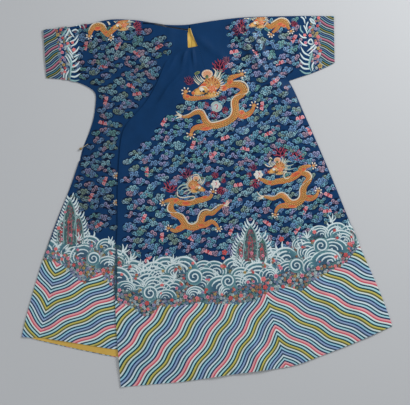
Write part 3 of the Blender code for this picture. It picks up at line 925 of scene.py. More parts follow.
flameRed = strokeFloss("flameRed", {0: (96, 24, 52), 0.5: (196, 62, 86), 1: (112, 28, 60)})
flamePlum = strokeFloss("flamePlum", {0: (76, 24, 58), 0.5: (150, 48, 86), 1: (84, 26, 64)})
flameShade = discFloss("flameShade", {0: (34, 20, 48), 0.7: (20, 24, 52), 1: (9, 36, 70)}, **inShadow)
flameBranches = [[(0, -5), (0.4, -2), (-0.2, 1), (0.3, 4.6)],
    [(0.1, -3.4), (2.6, -2.4), (4.2, -0.2), (4.8, 2.4)], [(2.6, -2.4), (4.8, -2.6), (6.3, -1.2)],
    [(0.1, -2.6), (-2.4, -1.8), (-4, 0.2), (-4.4, 2.8)], [(-2.6, -1.7), (-4.6, -2), (-6.1, -0.6)],
    [(0.1, -0.4), (1.8, 0.8), (2.4, 3.4)], [(0, 0), (-1.6, 1.2), (-2.2, 3.8)],
    [(0.2, 2.2), (1.2, 3.6), (1, 5.4)], [(3.4, -1.2), (3.2, 0.6), (3.9, 2.2)],
    [(-3.3, -0.8), (-3, 0.8), (-3.2, 2)], [(4.4, 0.6), (5.6, 1.2), (6.2, 2.6)],
    [(-4.2, 1.4), (-5.4, 2), (-5.8, 3.4)], [(0.3, 3.4), (-0.9, 4.6), (-1, 6)],
    [(-1.8, 2.4), (-3, 3.4), (-3.4, 4.8)], [(2, 1.6), (3.2, 3), (3.6, 4.8)],
    [(0.3, -4.2), (-1.6, -4.2), (-3.2, -3.6)], [(0.3, -4.2), (2.2, -4.4), (3.6, -3.8)]]


def makeFlame(shade):
    twigs = [stroke("twig", home(line), (0.85, 0.8, 0.35), shade, step=1.5, crown=0.5, seat=0.2)
             for line in flameBranches]
    return motif("flame", twigs + [stampAt(round9, *middle(0, -0.4), 4.2, wide=1.25, seat=-0.05,
                                           rise=0.2, material=flameShade)])


flameMotifs = [makeFlame(flameRed), makeFlame(flamePlum)]

# dragons: gold and ivory flosses
dragonGold = scaleFloss("dragonGold", (236, 184, 104), (132, 80, 34), (216, 126, 62))
limbGold = scaleFloss("limbGold", (236, 182, 104), (140, 82, 38), (222, 118, 62))
faceGold = rayFloss("faceGold", 23, (240, 188, 112), (170, 96, 42), (196, 128, 58))
snoutGold = discFloss("snoutGold", {0: (236, 184, 104), 0.5: (222, 166, 84), 1: (186, 124, 52)})
cheekCurl = curlFloss("cheekCurl", {0: (206, 74, 44), 0.3: (226, 108, 66), 0.62: (240, 178, 120),
                                    1: (214, 90, 54)}, 2.2)
crestFloss = rayFloss("crestFloss", 11, (234, 196, 150), (200, 88, 56), (232, 218, 196))
emberDisc = discFloss("emberFloss", {0: (204, 74, 44), 0.45: (218, 98, 58), 0.75: (224, 132, 74),
                                     1: (222, 156, 82)})
ivory = strokeFloss("ivoryStroke", {0: (196, 184, 158), 0.5: (238, 230, 212), 1: (206, 192, 166)})
ivoryDisc = discFloss("ivoryDisc", {0: (244, 238, 224), 0.7: (232, 224, 208), 1: (200, 190, 172)})
ember = strokeFloss("emberStroke", {0: (196, 84, 48), 0.5: (186, 62, 36), 1: (206, 110, 58)})
pupil = strokeFloss("pupilStroke", {0: (52, 44, 40), 0.5: (24, 26, 32), 1: (60, 48, 40)})
maneFloss = strokeFloss("maneStroke", {0: (52, 92, 96), 0.45: (150, 180, 172), 0.6: (216, 222, 208),
                                       1: (70, 110, 112)})
pupilDisc = discFloss("pupilDisc", {0: (18, 20, 26), 1: (26, 28, 36)})
crestEye = discFloss("crestEye", {0: (34, 66, 46), 0.5: (84, 112, 70), 1: (142, 140, 84)})
pearlDisc = discFloss("pearlDisc", {0: (198, 206, 204), 0.4: (186, 200, 198), 0.8: (158, 182, 180),
                                    1: (196, 212, 206)})
pearlFloss = strokeFloss("pearlStroke", {0: (190, 60, 84), 0.5: (214, 96, 116), 1: (196, 70, 92)})
pearlLobe = discFloss("pearlLobe", {0: (232, 206, 200), 0.5: (236, 230, 222), 0.85: (206, 214, 206),
                                    1: (140, 172, 168)})


def discs(rows, dx=0.0, dy=0.0, scale=1.0, flip=False, seat=0.5, rise=0.8):
    mirror = -1 if flip else 1
    return [stampAt(round16, dx + x * scale * mirror, dy - y * scale, tall * scale,
                    wide=wide / tall, turn=turn * mirror, seat=seat + 0.06 * i, rise=rise,
                    material=shade)
            for i, (x, y, wide, tall, turn, shade) in enumerate(rows)]


pawShape = {"spreads": (-105, -55, 0, 50, 100), "toe": (1.3, 2.7), "claw": 3.3}


def paw(col, row, turn, size=1.0):
    # a palm with five claws spread round it, pointing along turn
    parts = discs([(0, 0, 1.7, 1.5, 0, faceGold)], col, row, size, seat=0.7)
    for spread in pawShape["spreads"]:
        ux, uy = heading(turn + spread)
        toe = [(col + ux * reach * size, row - uy * reach * size) for reach in pawShape["toe"]]
        parts.append(stroke("toe", toe, (0.5 * size, 0.8 * size), limbGold, 1.0, seat=0.7))
        claw = (ux * pawShape["claw"] * size, uy * pawShape["claw"] * size)
        parts += discs([(*claw, 1.0, 0.72, turn + spread, ivoryDisc)], col, row, seat=0.9)
    return parts


def makeTooth():
    bpy.ops.object.select_all(action="DESELECT")
    bpy.ops.mesh.primitive_cone_add(vertices=4, radius1=0.55, radius2=0, depth=1.0)
    shape = freshMesh("tooth", ivoryDisc)
    for vert in shape.data.vertices:
        if vert.co.z > 0.4:
            vert.co = (1.5, 0, 0.05)
        else:
            vert.co = (vert.co.x * 0.6, vert.co.y, 0.6 if vert.co.x > 0.3 else 0)
    return putAway(shape)


tooth = makeTooth()
backTeeth = {"every": 1.5, "size": 0.8, "lean": 78, "fine": 400}


def spikes(line):
    # the small ivory teeth along a dragon's back
    path, length = smoothLine(line, backTeeth["fine"])
    count = round(length / square(backTeeth["every"]))
    way = np.gradient(path)
    made = []
    for i in range(1, count):
        k = round(backTeeth["fine"] * i / count)
        turn = math.degrees(np.angle(way[k])) + backTeeth["lean"]
        made.append(stamp(tooth, path[k].real, path[k].imag, square(backTeeth["size"]), turn=turn,
                          rise=0.8 * mm, seat=0.6))
    return made


def fanned(turns, places):
    # a strand for each turn; a place is a middle and how far it reaches across and up
    return [[(x + ux * out, y + uy * up) for x, y, out, up in places]
            for ux, uy in map(heading, turns)]


def inRow(count, step, places):
    # strands side by side; a place is across, up and the rise from one strand to the next
    return [[(x + step * k, y + rise * k) for x, y, rise in places] for k in range(count)]


# a side view head, facing left; places are in squares from the eye, turns in degrees
headShape = {
    "face": [(8.8, -4.2, 7.6, 3.2, 8, snoutGold), (8.8, 6.6, 9.0, 7.6, 12, faceGold),
             (-5.2, -1.8, 5.8, 3.9, 24, snoutGold), (0.6, 4.8, 4.6, 2.6, 38, emberDisc),
             (0.2, 1.0, 6.6, 4.4, 20, snoutGold), (-9.6, -2.6, 1.9, 1.7, 0, emberDisc),
             (4.2, 16.4, 5.6, 4.4, 4, crestFloss), (4.0, 14.6, 2.5, 2.8, 0, crestEye),
             (-5.8, 17.4, 3.0, 1.5, 24, crestEye), (9.2, 2.0, 4.4, 4.2, 0, cheekCurl),
             (-0.9, 0.9, 3.3, 2.7, -16, ivoryDisc), (0.5, -0.6, 2.0, 1.5, -24, pupilDisc),
             (-2.5, -0.9, 0.9, 0.7, 0, pupilDisc), (3.0, -3.0, 1.5, 0.8, -20, pupilDisc),
             (-8.2, -0.6, 0.7, 0.6, 0, pupilDisc)],
    "room": ((0, 2, 5), (10, 4, 8), (-7, -2, 3), (3, 13, 5), (14, 13, 3)),
}
# the head's strands in the order they are laid: lines, widths, flosses in turn, and seat
headStrands = [
    (fanned(range(70, -98, -14), [(8.8, 4.6, 8.4, 8.2), (8.8, 5.2, 11, 10.4), (8.8, 6, 12.6, 11.4)]),
     (1.3, 1.2, 0.3), [ivory], 1.3),  # mane behind the cheek
    ([[(x, y), (x - reach * 0.55, y + reach * 0.45), (x - reach * 0.9, y + reach)]
      for x, y, reach in ((1.6, 9.4, 5.2), (0.2, 9, 6.6), (-1.2, 8.2, 7.2), (-2.6, 7, 7.4),
                          (-3.8, 5.8, 6.6))],
     (1.4, 1.1, 0.3), [ivory, maneFloss], 1.3),  # locks over the brow
    ([[(x, y), (x + reach * 0.2, y + reach * 0.6), (x + (k - 0.6) * reach * 0.28, y + reach)]
      for k, (x, y, reach) in enumerate(((11.4, 14.2, 7.8), (13.2, 13.4, 8.2), (15.4, 12.4, 7.4),
                                         (17.2, 10.8, 7)))],
     (2, 1.5, 0.3), [ivory, maneFloss], 1.3),  # locks behind the crest
    (inRow(7, 2.4, [(-0.6, -5.6, 0.16), (0.4, -7, 0.2), (1.8, -7.8, 0.3)]),
     (1, 0.9, 0.3), [maneFloss, ivory], 0.9),  # beard along the jaw
    (inRow(5, 2.8, [(1.6, -2.6, 0), (2.4, -4.6, 0)]),
     (0.8, 0.7), [pupil], 1.5),  # gaps between the lower teeth
    ([[(-9.6, -4.2), (-4.4, -5.4), (0.4, -4), (4, -2.2)]],
     (0.5, 0.9, 0.9, 0.5), [pupil], 1.4),  # mouth
    (inRow(5, 2.1, [(-8.4, -4.2, 0), (-8, -5.9, 0)]), (0.9, 0.5), [ivory], 1.7),  # upper teeth
    (fanned([360 * k / 11 for k in range(11)], [(9.2, 2, 2.4, 2.4), (9.2, 2, 5, 4.8)]),
     (0.5, 0.9), [ivory, ember, ember], 1.7),  # petals round the cheek
    ([fanned([turn], [(x, y, 0, 0), (x, y, 1.9, 1.9)])[0]
      for x, y, turn in ((2.2, 8.2, 60), (5.6, 10.2, 75), (9.4, 10.8, 95), (13, 9.4, 115),
                         (15.2, 6.4, 140), (12.8, 5.6, 130), (5.4, 6.8, 70))],
     (0.4, 0.7, 0.3), [pupil], 1.75),  # dark gaps in the gold
    ([[(-3.8, 2.6), (-1, 4), (2.4, 3.6), (4.4, 1.6)]], (0.7, 1.2, 1.1, 0.4), [ivory], 1.6),  # lid
    ([[(-3.4, 4), (0.4, 6.4), (4.6, 6)]], (0.5, 0.9, 0.4), [ember], 1.6),  # edge of the brow
    (fanned(range(26, 139, 28), [(8.6, 5, 4.2, 3.6), (8.6, 5.6, 6, 5.4), (8.6, 6.4, 7.4, 6.6)]),
     (0.5, 0.9, 0.4), [ember], 1.6),  # brow rays
]


def dragonHead(col, row, scale, flip):
    parts = discs(headShape["face"], col, row, scale, flip, seat=0.7, rise=1.0)
    mirror = -1 if flip else 1
    for lines, widths, flosses, seat in headStrands:
        for k, line in enumerate(lines):
            places = [(col + x * scale * mirror, row - y * scale) for x, y in line]
            parts.append(stroke("strand", places, [w * scale for w in widths],
                                flosses[k % len(flosses)], 1.2, seat=seat))
    return parts


# a dragon's strokes: widths unless its own, floss, length of a stitch and how the stroke stands
dragonStrokes = {
    "body": (None, dragonGold, 1.5, {"across": 4, "crown": 1.2, "seat": 0.55}),
    "back": ((0.7, 1.25, 1.25, 1.1, 0.6), ivory, 1.5, {"crown": 0.9, "seat": 1.0}),
    "limbs": (None, limbGold, 1.4, {"across": 4, "crown": 1.1, "seat": 0.75}),
    "whiskers": ((1.0, 1.15, 1.0, 0.5), ivory, 1.2, {"seat": 1.3}),
    "mane": ((1.7, 1.7, 0.6), maneFloss, 1.2, {"seat": 1.0}),
    "tuft": ((2.0, 1.5, 0.3), ivory, 1.4, {"seat": 0.6}),
}
pearlCoil = ((-1.6, 0.6), (-0.6, 1.8), (0.9, 1.4), (1.0, -0.2), (-0.2, -1.4), (1.4, -2.4))


def dragonLines(about, kind):
    widths, shade, step, stand = dragonStrokes[kind]
    made = []
    for line in about.get(kind, ()):
        points, own = (line, widths) if widths else line
        made.append(stroke(kind, points, own, shade, step, **stand))
        if kind == "back":
            made += spikes(points)
    return made


def pearl(x, y, size, lobed):
    # a flaming pearl with a coil; the small ones are a round of lobes
    if lobed:
        petals = [(math.cos(a) * 3.1, math.sin(a) * 2.8, 1.8, 1.7, 0, pearlLobe)
                  for a in np.arange(6) * math.pi / 3]
        parts = discs(petals + [(0, 0, 2.4, 2.2, 0, pearlLobe)], x, y, size, seat=0.4)
        coil = [(x + size * px, y - size * py) for px, py in pearlCoil[1:5]]
    else:
        parts = discs([(0, 0, size * 1.03, size * 0.94, 0, pearlDisc)], x, y, seat=0.4)
        coil = [(x + 0.2 * size * px, y - 0.2 * size * py) for px, py in pearlCoil]
    return parts + [stroke("coil", coil, (0.5, 0.9, 0.9, 0.5), pearlFloss, 1.0, seat=1.3,
                           crown=0.5)]


def dragon(about):
    parts = []
    for kind in ("body", "back", "limbs"):
        parts += dragonLines(about, kind)
    for x, y, wide, tall, turn in about["embers"]:
        parts += discs([(0, 0, wide * 1.15, tall * 1.2, turn, emberDisc)], x, y, seat=1.3, rise=0.5)
        for k in (-0.55, 0, 0.55):  # licks of flame at the joints
            lick = [(x + wide * (k - 0.25), y - tall * 0.1), (x + wide * k, y - tall * 0.6),
                    (x + wide * (k + 0.35), y - tall * 0.75)]
            parts.append(stroke("lick", lick, (0.4, 0.8, 0.3), ember, 1.4, seat=1.7, crown=0.4))
    for x, y, turn in about["paws"]:
        parts += paw(x, y, turn, about["pawSize"])
    for kind in ("whiskers", "mane", "tuft"):
        parts += dragonLines(about, kind)
    parts += dragonHead(*about["head"])
    for x, y, turn, size, kind in about["flames"]:
        parts.append(stampWhole(flameMotifs[kind], x, y, size, turn, seat=0.3))
    if "pearl" in about:
        parts += pearl(*about["pearl"])
    return parts


# body and limbs: a line and its widths; flames: column, row, turn, size and kind
chestDragon = {
    "body": [([(222, 88.4), (226, 86.6), (230.3, 84.6), (236.3, 84.2), (241.3, 86.2), (244.4, 90),
          (241.6, 94.4), (236.9, 97.8), (235, 102.6), (235.6, 109.2), (234.4, 115.6), (230, 120.3),
          (223.2, 123.6), (214.4, 125.6), (207.8, 124.4), (204.4, 120), (202.6, 115), (199.4, 112.4),
          (194.1, 113.2), (189.2, 116.2), (184.2, 117.4), (181.4, 116.2)],
         (5.5, 6.5, 6.8, 7, 6.6, 7.4, 7.6, 7.2, 6.8, 7.4, 6.4, 5, 4.4, 3.4, 1.6))],
    "back": [[(233.6, 81.4), (240.7, 81.2), (245.7, 83.9), (248.2, 88.9), (246.8, 93.3), (240.7, 94.6)],
        [(242, 94), (235.8, 96), (231.8, 99.8), (231.1, 104.8), (231.8, 110.3), (230, 115.6), (225.4, 119),
         (217.7, 121.6), (211.7, 122.6), (208.4, 119.8), (206.2, 115.6), (203.4, 110.8), (199.6, 109.4),
         (194.1, 110.5), (189.2, 114), (183.1, 116)]],
    "limbs": [([(229.6, 84.5), (230.4, 78.6), (234.8, 76.6), (240.2, 75)], (6, 5.4, 4.4, 3)),
        ([(237, 112.6), (242.5, 115.8), (247.5, 114.6), (251.7, 111), (253.6, 107)], (6, 7, 6, 4.4, 3)),
        ([(209, 125.4), (203, 127), (197, 127.4), (193, 129.6), (191.2, 133.2)], (8, 7.4, 5.6, 4.4, 3)),
        ([(210, 97.5), (202, 97.8), (194, 98.6), (186.4, 98.4), (184.4, 96), (185.6, 93.6)],
         (2.6, 3.6, 4.4, 5, 4, 3))],
    "embers": [(224, 88, 3.4, 2.6, 20), (230, 82.6, 3.6, 2.2, 60), (241.5, 113.2, 3, 2.6, 0),
        (206, 128.6, 5.6, 1.7, 6), (187.4, 97, 2.6, 1.8, 0), (245.5, 116.6, 2, 1.6, 0)],
    "paws": [(241.6, 74.4, 25), (254, 105.6, 75), (190.8, 134.8, -95), (185.8, 91.8, 110)],
    "pawSize": 1.15,
    "tuft": [[(182, 116.3), (178, 115.2), (174.6, 115.6)], [(182, 116.6), (178.6, 117.6), (175, 119.2)],
        [(182, 116), (178, 113.6), (176, 111.4)]],
    "head": (203, 90.6, 1, False),
    "flames": [(219.6, 66.4, 4, 1.25, 0), (226, 60.4, 30, 0.7, 1), (189, 81, -8, 0.85, 1),
        (206, 105.6, 80, 0.6, 0), (214, 114.6, 184, 0.75, 0), (225, 110.4, -60, 0.6, 0),
        (223, 98.8, 16, 0.65, 1)],
    "pearl": (216.4, 106.8, 5.7, False),
}
lowerLeftDragon = {
    "body": [([(173.6, 200.6), (171, 204.8), (171.2, 209.5), (174.5, 213.8), (180.2, 216.8), (183.5, 221.3),
          (187.3, 225.6), (193.9, 227.2), (199.7, 224.4), (201.6, 219), (203.5, 214.4), (208, 212.8),
          (212.3, 213.3), (216.5, 210), (220.8, 206.7), (224.1, 204.8)],
         (5, 6, 6.2, 6.4, 6.8, 6.6, 6.8, 5.6, 4.6, 3.6, 2)),
        ([(212, 193.8), (209.4, 197.6), (202.8, 199.6), (195.8, 201.2), (188.7, 203), (181.6, 202.9),
          (175.4, 201)], (3.4, 4.6, 5.6, 5.8, 6, 6, 5.2))],
    "back": [[(170.3, 202.3), (167.6, 206.2), (167.9, 211), (172.2, 212.6), (178.3, 212.6)],
        [(178, 212.6), (183, 215), (186, 219.4), (188.9, 223.5), (192.9, 224), (197, 221.3), (198.8, 215.2),
         (201.6, 211), (206.1, 209.6), (211.3, 210.4), (215.6, 206.9), (221.4, 204.3)]],
    "limbs": [([(176, 201), (173.6, 200), (168.6, 200.4), (164.6, 201.8)], (4.4, 4.4, 3.6, 2.4)),
        ([(184, 226), (179, 229.4), (174.5, 230.8), (170.4, 229.2)], (6.4, 5.4, 4, 2.6)),
        ([(200, 225.4), (206, 224.4), (211.6, 221.6), (216, 224.4), (218, 227.2)], (6, 5.6, 5, 3.6, 2.4))],
    "embers": [(186, 203.4, 5.4, 1.9, -4), (202, 225.2, 6.6, 1.5, 6), (175.8, 200.4, 3, 2, 20),
        (178.4, 227.8, 2.6, 1.6, 20), (204.6, 197.4, 3, 1.4, 10)],
    "paws": [(163, 202.6, 200), (168.6, 228.2, 150), (218.6, 228.6, -60), (213, 191.8, 80)],
    "pawSize": 0.86,
    "whiskers": [[(177.3, 191.6), (177.8, 195.8), (182.5, 197.7), (188.7, 196.8), (193.9, 196.3),
         (194.8, 198.7), (190.6, 200.4), (187, 200)],
        [(193, 175.4), (197.2, 174.6), (200, 178.4), (201.6, 183.2), (204.4, 180), (205, 177.4)]],
    "mane": [[(188, 184), (182, 185), (178, 188), (177.4, 191)], [(188, 187), (183, 188), (180, 191)],
        [(189, 190), (185, 191.4), (183, 194)], [(192, 190), (189, 193), (186, 195)]],
    "tuft": [[(223.6, 205), (226.4, 203.4), (228.8, 199)], [(223.6, 205), (227.4, 204.6), (229.6, 202)],
        [(223.6, 205), (226.6, 206), (229, 206.4)]],
    "head": (198.6, 188.4, 0.6, True),
    "flames": [(186, 173.6, 6, 1.05, 1), (170, 187, -8, 1.1, 0), (207.8, 184, 40, 0.42, 1),
        (215, 175.4, 20, 0.6, 0), (223, 180.4, -34, 0.5, 0), (221, 190.8, 172, 0.8, 0)],
    "pearl": (215.6, 184.2, 1, True),
}
lowerRightDragon = {
    "body": [([(300.4, 172.5), (305.6, 173.8), (308.9, 176.6), (308.2, 180.6), (305, 184.8), (303.2, 189.1),
          (303.2, 193.8), (302.2, 198.5), (298.5, 202.3), (293.3, 203.7), (288.6, 201.8), (285.3, 198),
          (281.5, 195.7), (277.3, 196.6), (273, 198.7), (268.3, 197.8), (263.6, 196.8)],
         (5, 6, 6.2, 6.4, 6.8, 7, 6.8, 5.6, 4.6, 3.6, 2)),
        ([(260.3, 178.9), (265.9, 181.5), (270.7, 182.9), (277.3, 181.4), (283.4, 180.6), (289.5, 179.1),
          (295.2, 176.3), (300.4, 172.5)], (3, 4.6, 5.2, 5.6, 6, 6, 5.6, 5))],
    "back": [[(303.7, 170.8), (308.4, 172.1), (311.2, 175.8), (309.8, 179.6), (304.6, 182.9)],
        [(305.6, 182.4), (300.9, 186.2), (299.4, 190.5), (299.4, 195.2), (297.4, 198.8), (292.8, 200.2),
         (289.5, 198.3), (286.7, 194.9), (282.5, 192.4), (278.2, 193.3), (274.9, 196), (269.7, 195.9),
         (264, 195)]],
    "limbs": [([(299.6, 172.6), (301.4, 168.3), (307, 166.4), (311, 166)], (5, 4.8, 3.8, 2.4)),
        ([(304, 197), (308.6, 198.6), (312.6, 198), (316, 195.7), (317.8, 192.4)], (6, 5.6, 5, 3.8, 2.6)),
        ([(292, 204.6), (285, 205.6), (279.6, 206.4), (276.6, 209.6), (275.4, 212.8)],
         (7, 6.2, 5, 3.8, 2.6))],
    "embers": [(295.6, 174.6, 6, 2.2, 30), (291.4, 206.2, 5, 1.4, -6), (309.4, 196.6, 3.4, 1.5, 0),
        (303.4, 169.4, 2.6, 1.7, 40), (269.8, 182.6, 2.4, 1.5, -20)],
    "paws": [(313.2, 165.8, 10), (318.2, 191, 75), (275, 214.6, -95), (259.6, 177.6, 150)],
    "pawSize": 0.86,
    "whiskers": [[(268.8, 158.4), (271.4, 157.6), (270.4, 160.6), (268.8, 163.4), (271, 166)],
        [(264.8, 164.2), (268.2, 166.6), (271.6, 166.6)],
        [(286.6, 171.2), (284, 174.4), (284.4, 178), (288, 178.4), (290.4, 176.2)]],
    "mane": [[(283, 163), (288, 161.4), (291.4, 162)], [(284, 166), (289, 166), (293.4, 164.4)],
        [(284, 169), (289, 169.6), (294, 168.4)], [(282.6, 171.4), (287, 173), (291, 172.4)]],
    "tuft": [[(264, 196.6), (260, 195.6), (256.8, 191.4)], [(264, 196.8), (259.4, 197.4), (256.4, 196.4)],
        [(264, 197), (260, 198.8), (257.4, 199)]],
    "head": (274.6, 170.4, 0.62, False),
    "flames": [(280, 152.6, 6, 1.2, 0), (296.6, 155, -10, 1.2, 0), (252.5, 167.4, 10, 0.75, 1),
        (266, 171.4, -30, 0.5, 1), (255.5, 183.4, 188, 0.9, 0), (249, 175, 84, 0.5, 0)],
    "pearl": (258.4, 174.6, 1, True),
}
shoulderDragon = {
    "body": [([(90, 35), (91.5, 29.4), (96, 25.4), (101.6, 26.6), (104, 31), (108.6, 33.4), (113, 30),
          (118, 27)], (3.4, 5.6, 6, 6.2, 5.6, 5.4, 5, 4))],
    "back": [[(88.8, 31), (91.8, 25.6), (97, 22.8), (103.6, 24.4), (106.6, 29)]],
    "limbs": [([(104, 31), (106.6, 34.6), (109.6, 36.6)], (4.6, 3.8, 2.6))],
    "embers": [(98, 28.6, 3.4, 1.8, 10), (106, 33, 2, 1.6, 0)],
    "paws": [(89.4, 36.4, -100), (110.8, 37.8, -30)],
    "pawSize": 0.8,
    "mane": [[(126, 23), (131, 21.8), (135, 23)], [(126, 27), (131, 27), (135.4, 29)]],
    "tuft": [[(110, 25), (108, 22), (104.6, 20.6)]],
    "head": (118.4, 26.6, 0.62, False),
    "flames": [(137, 25.6, -60, 0.8, 0), (139, 31, -90, 0.7, 1), (84, 26, 60, 0.6, 0)],
}
rightShoulderDragon = {
    "body": [([(266, 24), (270, 27), (274.6, 24.4), (279.4, 21), (285, 22.4), (288, 27.4)],
         (4, 5, 5.6, 6, 5.8, 3.6))],
    "back": [[(270.6, 23.6), (275.6, 20.4), (281, 18.2), (286.8, 19.8), (290.4, 25)]],
    "limbs": [([(280, 24), (276.6, 29), (272.4, 33)], (4.6, 3.8, 2.4)),
        ([(287, 26), (289.4, 29.4)], (3.6, 2.6))],
    "embers": [(280, 24.6, 3.2, 1.8, 0), (284, 26, 2, 1.4, 0)],
    "paws": [(290.8, 31.2, -60), (270.8, 34.6, -120)],
    "pawSize": 0.8,
    "mane": [[(262, 21.6), (266, 20), (268.6, 21.4)]],
    "tuft": [[(249, 19), (246, 18), (243.6, 19.6)]],
    "head": (255.6, 24.2, 0.6, False),
    "flames": [(240, 24, 40, 0.8, 0), (237, 31, 70, 0.9, 1), (243, 30, -20, 0.8, 0),
        (294, 24, -30, 0.6, 0)],
}

# where the clouds of each side lie, and how far out stitches reach on the cloth
cloudZones = {
    "front": {"edge": [(229, 26), (234, 18), (299, 14), (298, 68), (286, 82), (318, 143), (345, 205),
        (352, 222), (340, 220), (320, 222), (303, 236), (283, 248), (266, 248), (262, 236), (258, 218),
        (243, 218), (237, 240), (233, 253), (215, 258), (195, 258), (177, 254), (150, 260), (133, 255),
        (127, 242), (125.5, 162), (136, 150), (188, 101), (220, 69), (231, 60)], "turn": 13, "bare": 0,
        "fill": (9000, 118, 350)},
    "inner": {"edge": [(76, 24), (100, 20), (148, 18), (156, 32), (168, 40), (170, 50), (160, 62),
        (155, 78), (145, 97), (133, 112), (122, 124), (118, 135), (116, 150), (116, 232), (100, 230),
        (86, 230), (80, 214), (74, 190), (86, 160), (92, 140), (95, 110), (96, 92), (86, 80), (76, 74)],
        "turn": 3, "bare": 0.16, "fill": (1800, 76, 170)},
}
clothEdges = {
    "front": [(225, 20), (320, 16), (320, 69), (289.5, 82), (318, 144), (350, 221), (340, 400),
        (118.5, 400), (118.5, 175), (124, 140), (150, 120), (225, 50)],
    "inner": [(60, 31), (81, 28), (92, 26), (110, 22.5), (136, 23), (147, 26), (160, 29), (176, 31),
        (170, 56), (163, 66), (157, 82), (147, 100), (135, 115), (124, 126), (118, 152), (117, 260),
        (54, 262), (73, 189), (81.5, 163), (87, 145), (91.5, 133), (96.5, 117), (98.5, 92), (90, 80),
        (60, 80)],
}


def inside(edge, col, row):
    hit = False
    for (ax, ay), (bx, by) in zip(edge, edge[1:] + edge[:1]):
        if (ay > row) != (by > row) and col < ax + (row - ay) * (bx - ax) / (by - ay):
            hit = not hit
    return hit


taken = []  # circles that clouds keep out of
# how far clouds keep off paws, flames and pearls; they may reach over a body's edge
clearance = {"overEdge": 1.4, "paw": 3.0, "flame": 3.4, "pearl": 4.4, "peeping": 3.2}


def keepClear(about):
    for line, widths in about["body"] + about["limbs"]:
        for point in smoothLine(line, max(3, round(len(line) * 2)))[0]:
            taken.append((point.real / layout["square"] + layout["middleCol"],
                          layout["middleRow"] - point.imag / layout["square"],
                          max(widths) / 2 - clearance["overEdge"]))
    taken.extend((x, y, clearance["paw"]) for x, y, _ in about["paws"])
    taken.extend((x, y, clearance["flame"] * size) for x, y, _, size, _ in about["flames"])
    if "pearl" in about:
        taken.append((*about["pearl"][:2], clearance["pearl"]))
    col, row, scale, flip = about["head"]
    for x, y, r in headShape["room"]:
        taken.append((col + (-x if flip else x) * scale, row - y * scale, r * scale))


def hasRoom(edge, col, row, room):
    radius, reach, tall = room
    return (all((col - x) ** 2 + (row - y) ** 2 > (radius + r) ** 2 for x, y, r in taken)
            and all(inside(edge, col + dx, row + dy)
                    for dx, dy in ((reach, 0), (-reach, 0), (0, tall), (0, -tall))))


def scatterClouds(side):
    zone, cloth = cloudZones[side], clothEdges[side]
    ux, uy = heading(zone["turn"])
    rise, fall = np.array([ux, -uy]), np.array([uy, ux])
    jitterX, jitterY = cloud["jitter"]
    made, laid = [], []
    for i in range(*cloud["rows"]):
        for j in range(*cloud["cols"]):
            shift = (i % 2) * 0.5 + 0.17 * math.sin(i * 1.9)
            place = (np.array(cloud["start"]) + rise * (j + shift) * cloud["colStep"]
                     + fall * i * cloud["rowStep"])
            place += fall * (cloud["step"] if j % 2 else -cloud["step"])
            col = place[0] + random.uniform(-1, 1) * jitterX
            row = place[1] + random.uniform(-1, 1) * jitterY
            dye = random.randrange(len(mates))
            tilt = zone["turn"] + random.uniform(-cloud["tilt"], cloud["tilt"])
            flip = random.random() < 0.5
            size = random.uniform(*cloud["size"])
            rounds = cloud["round"] if row < cloud["roundTo"] else cloud["roundBelow"]
            shape = random.choice(roundClouds if random.random() < rounds else longClouds)
            if not inside(zone["edge"], col, row) or random.random() < zone["bare"]:
                continue
            if not hasRoom(cloth, col, row, cloud["room"]):
                shape, size = smallCloud, random.uniform(*cloud["smallSize"])
                if not hasRoom(cloth, col, row, cloud["smallRoom"]):
                    continue
            made.append((row, stampWhole(cloudMotifs[shape][dye], col, row, size, tilt, flip,
                                         seat=random.uniform(0, 0.12), wide=cloud["wide"])))
            laid.append((col, row))
    tries, left, right = zone["fill"]
    apartX, apartY = cloud["apart"]
    for _ in range(tries):  # small clouds in the gaps that are left
        col, row = random.uniform(left, right), random.uniform(*cloud["fillRows"])
        if not (inside(zone["edge"], col, row) and hasRoom(cloth, col, row, cloud["smallRoom"])):
            continue
        if all(((col - a) / apartX) ** 2 + ((row - b) / apartY) ** 2 > 1 for a, b in laid):
            laid.append((col, row))
            small = cloudMotifs[smallCloud][random.randrange(len(mates))]
            made.append((row, stampWhole(small, col, row, random.uniform(*cloud["fillSize"]),
                                         zone["turn"], wide=1.1)))
    return made


for about in (chestDragon, lowerLeftDragon, lowerRightDragon, shoulderDragon, rightShoulderDragon):
    keepClear(about)
taken.extend((col, row, bat["room"]) for col, row, _ in batPlaces)
# paws of a dragon that lies under the overlap: column, row, turn, size
peepingPaws = [(116.3, 175.8, 178, 0.74), (116.0, 202.6, 190, 0.64)]
taken.extend((col, row, clearance["peeping"] * size) for col, row, _, size in peepingPaws)


# waves, foam, rocks and treasures
foam = strokeFloss("foamStroke", {0: (144, 184, 192), 0.3: (232, 244, 244), 0.7: (222, 236, 238),
                                  1: (120, 164, 176)})
aqua = strokeFloss("aquaStroke", {0: (70, 130, 140), 0.5: (164, 204, 204), 1: (84, 142, 150)})
teal = strokeFloss("tealStroke", {0: (26, 60, 70), 0.5: (74, 124, 126), 1: (26, 60, 70)})
mint = strokeFloss("mintStroke", {0: (62, 104, 112), 0.3: (166, 194, 192), 0.7: (128, 168, 170),
                                  1: (44, 88, 98)})
coral = strokeFloss("coralStroke", {0: (112, 56, 76), 0.5: (172, 100, 108), 1: (104, 52, 76)})
deepDisc = discFloss("deepWater", {0: (40, 78, 106), 0.45: (50, 94, 118), 0.8: (76, 126, 138),
                                   1: (118, 162, 166)})
tealDisc = discFloss("tealRock", {0: (44, 40, 56), 0.5: (40, 62, 72), 1: (62, 110, 112)})
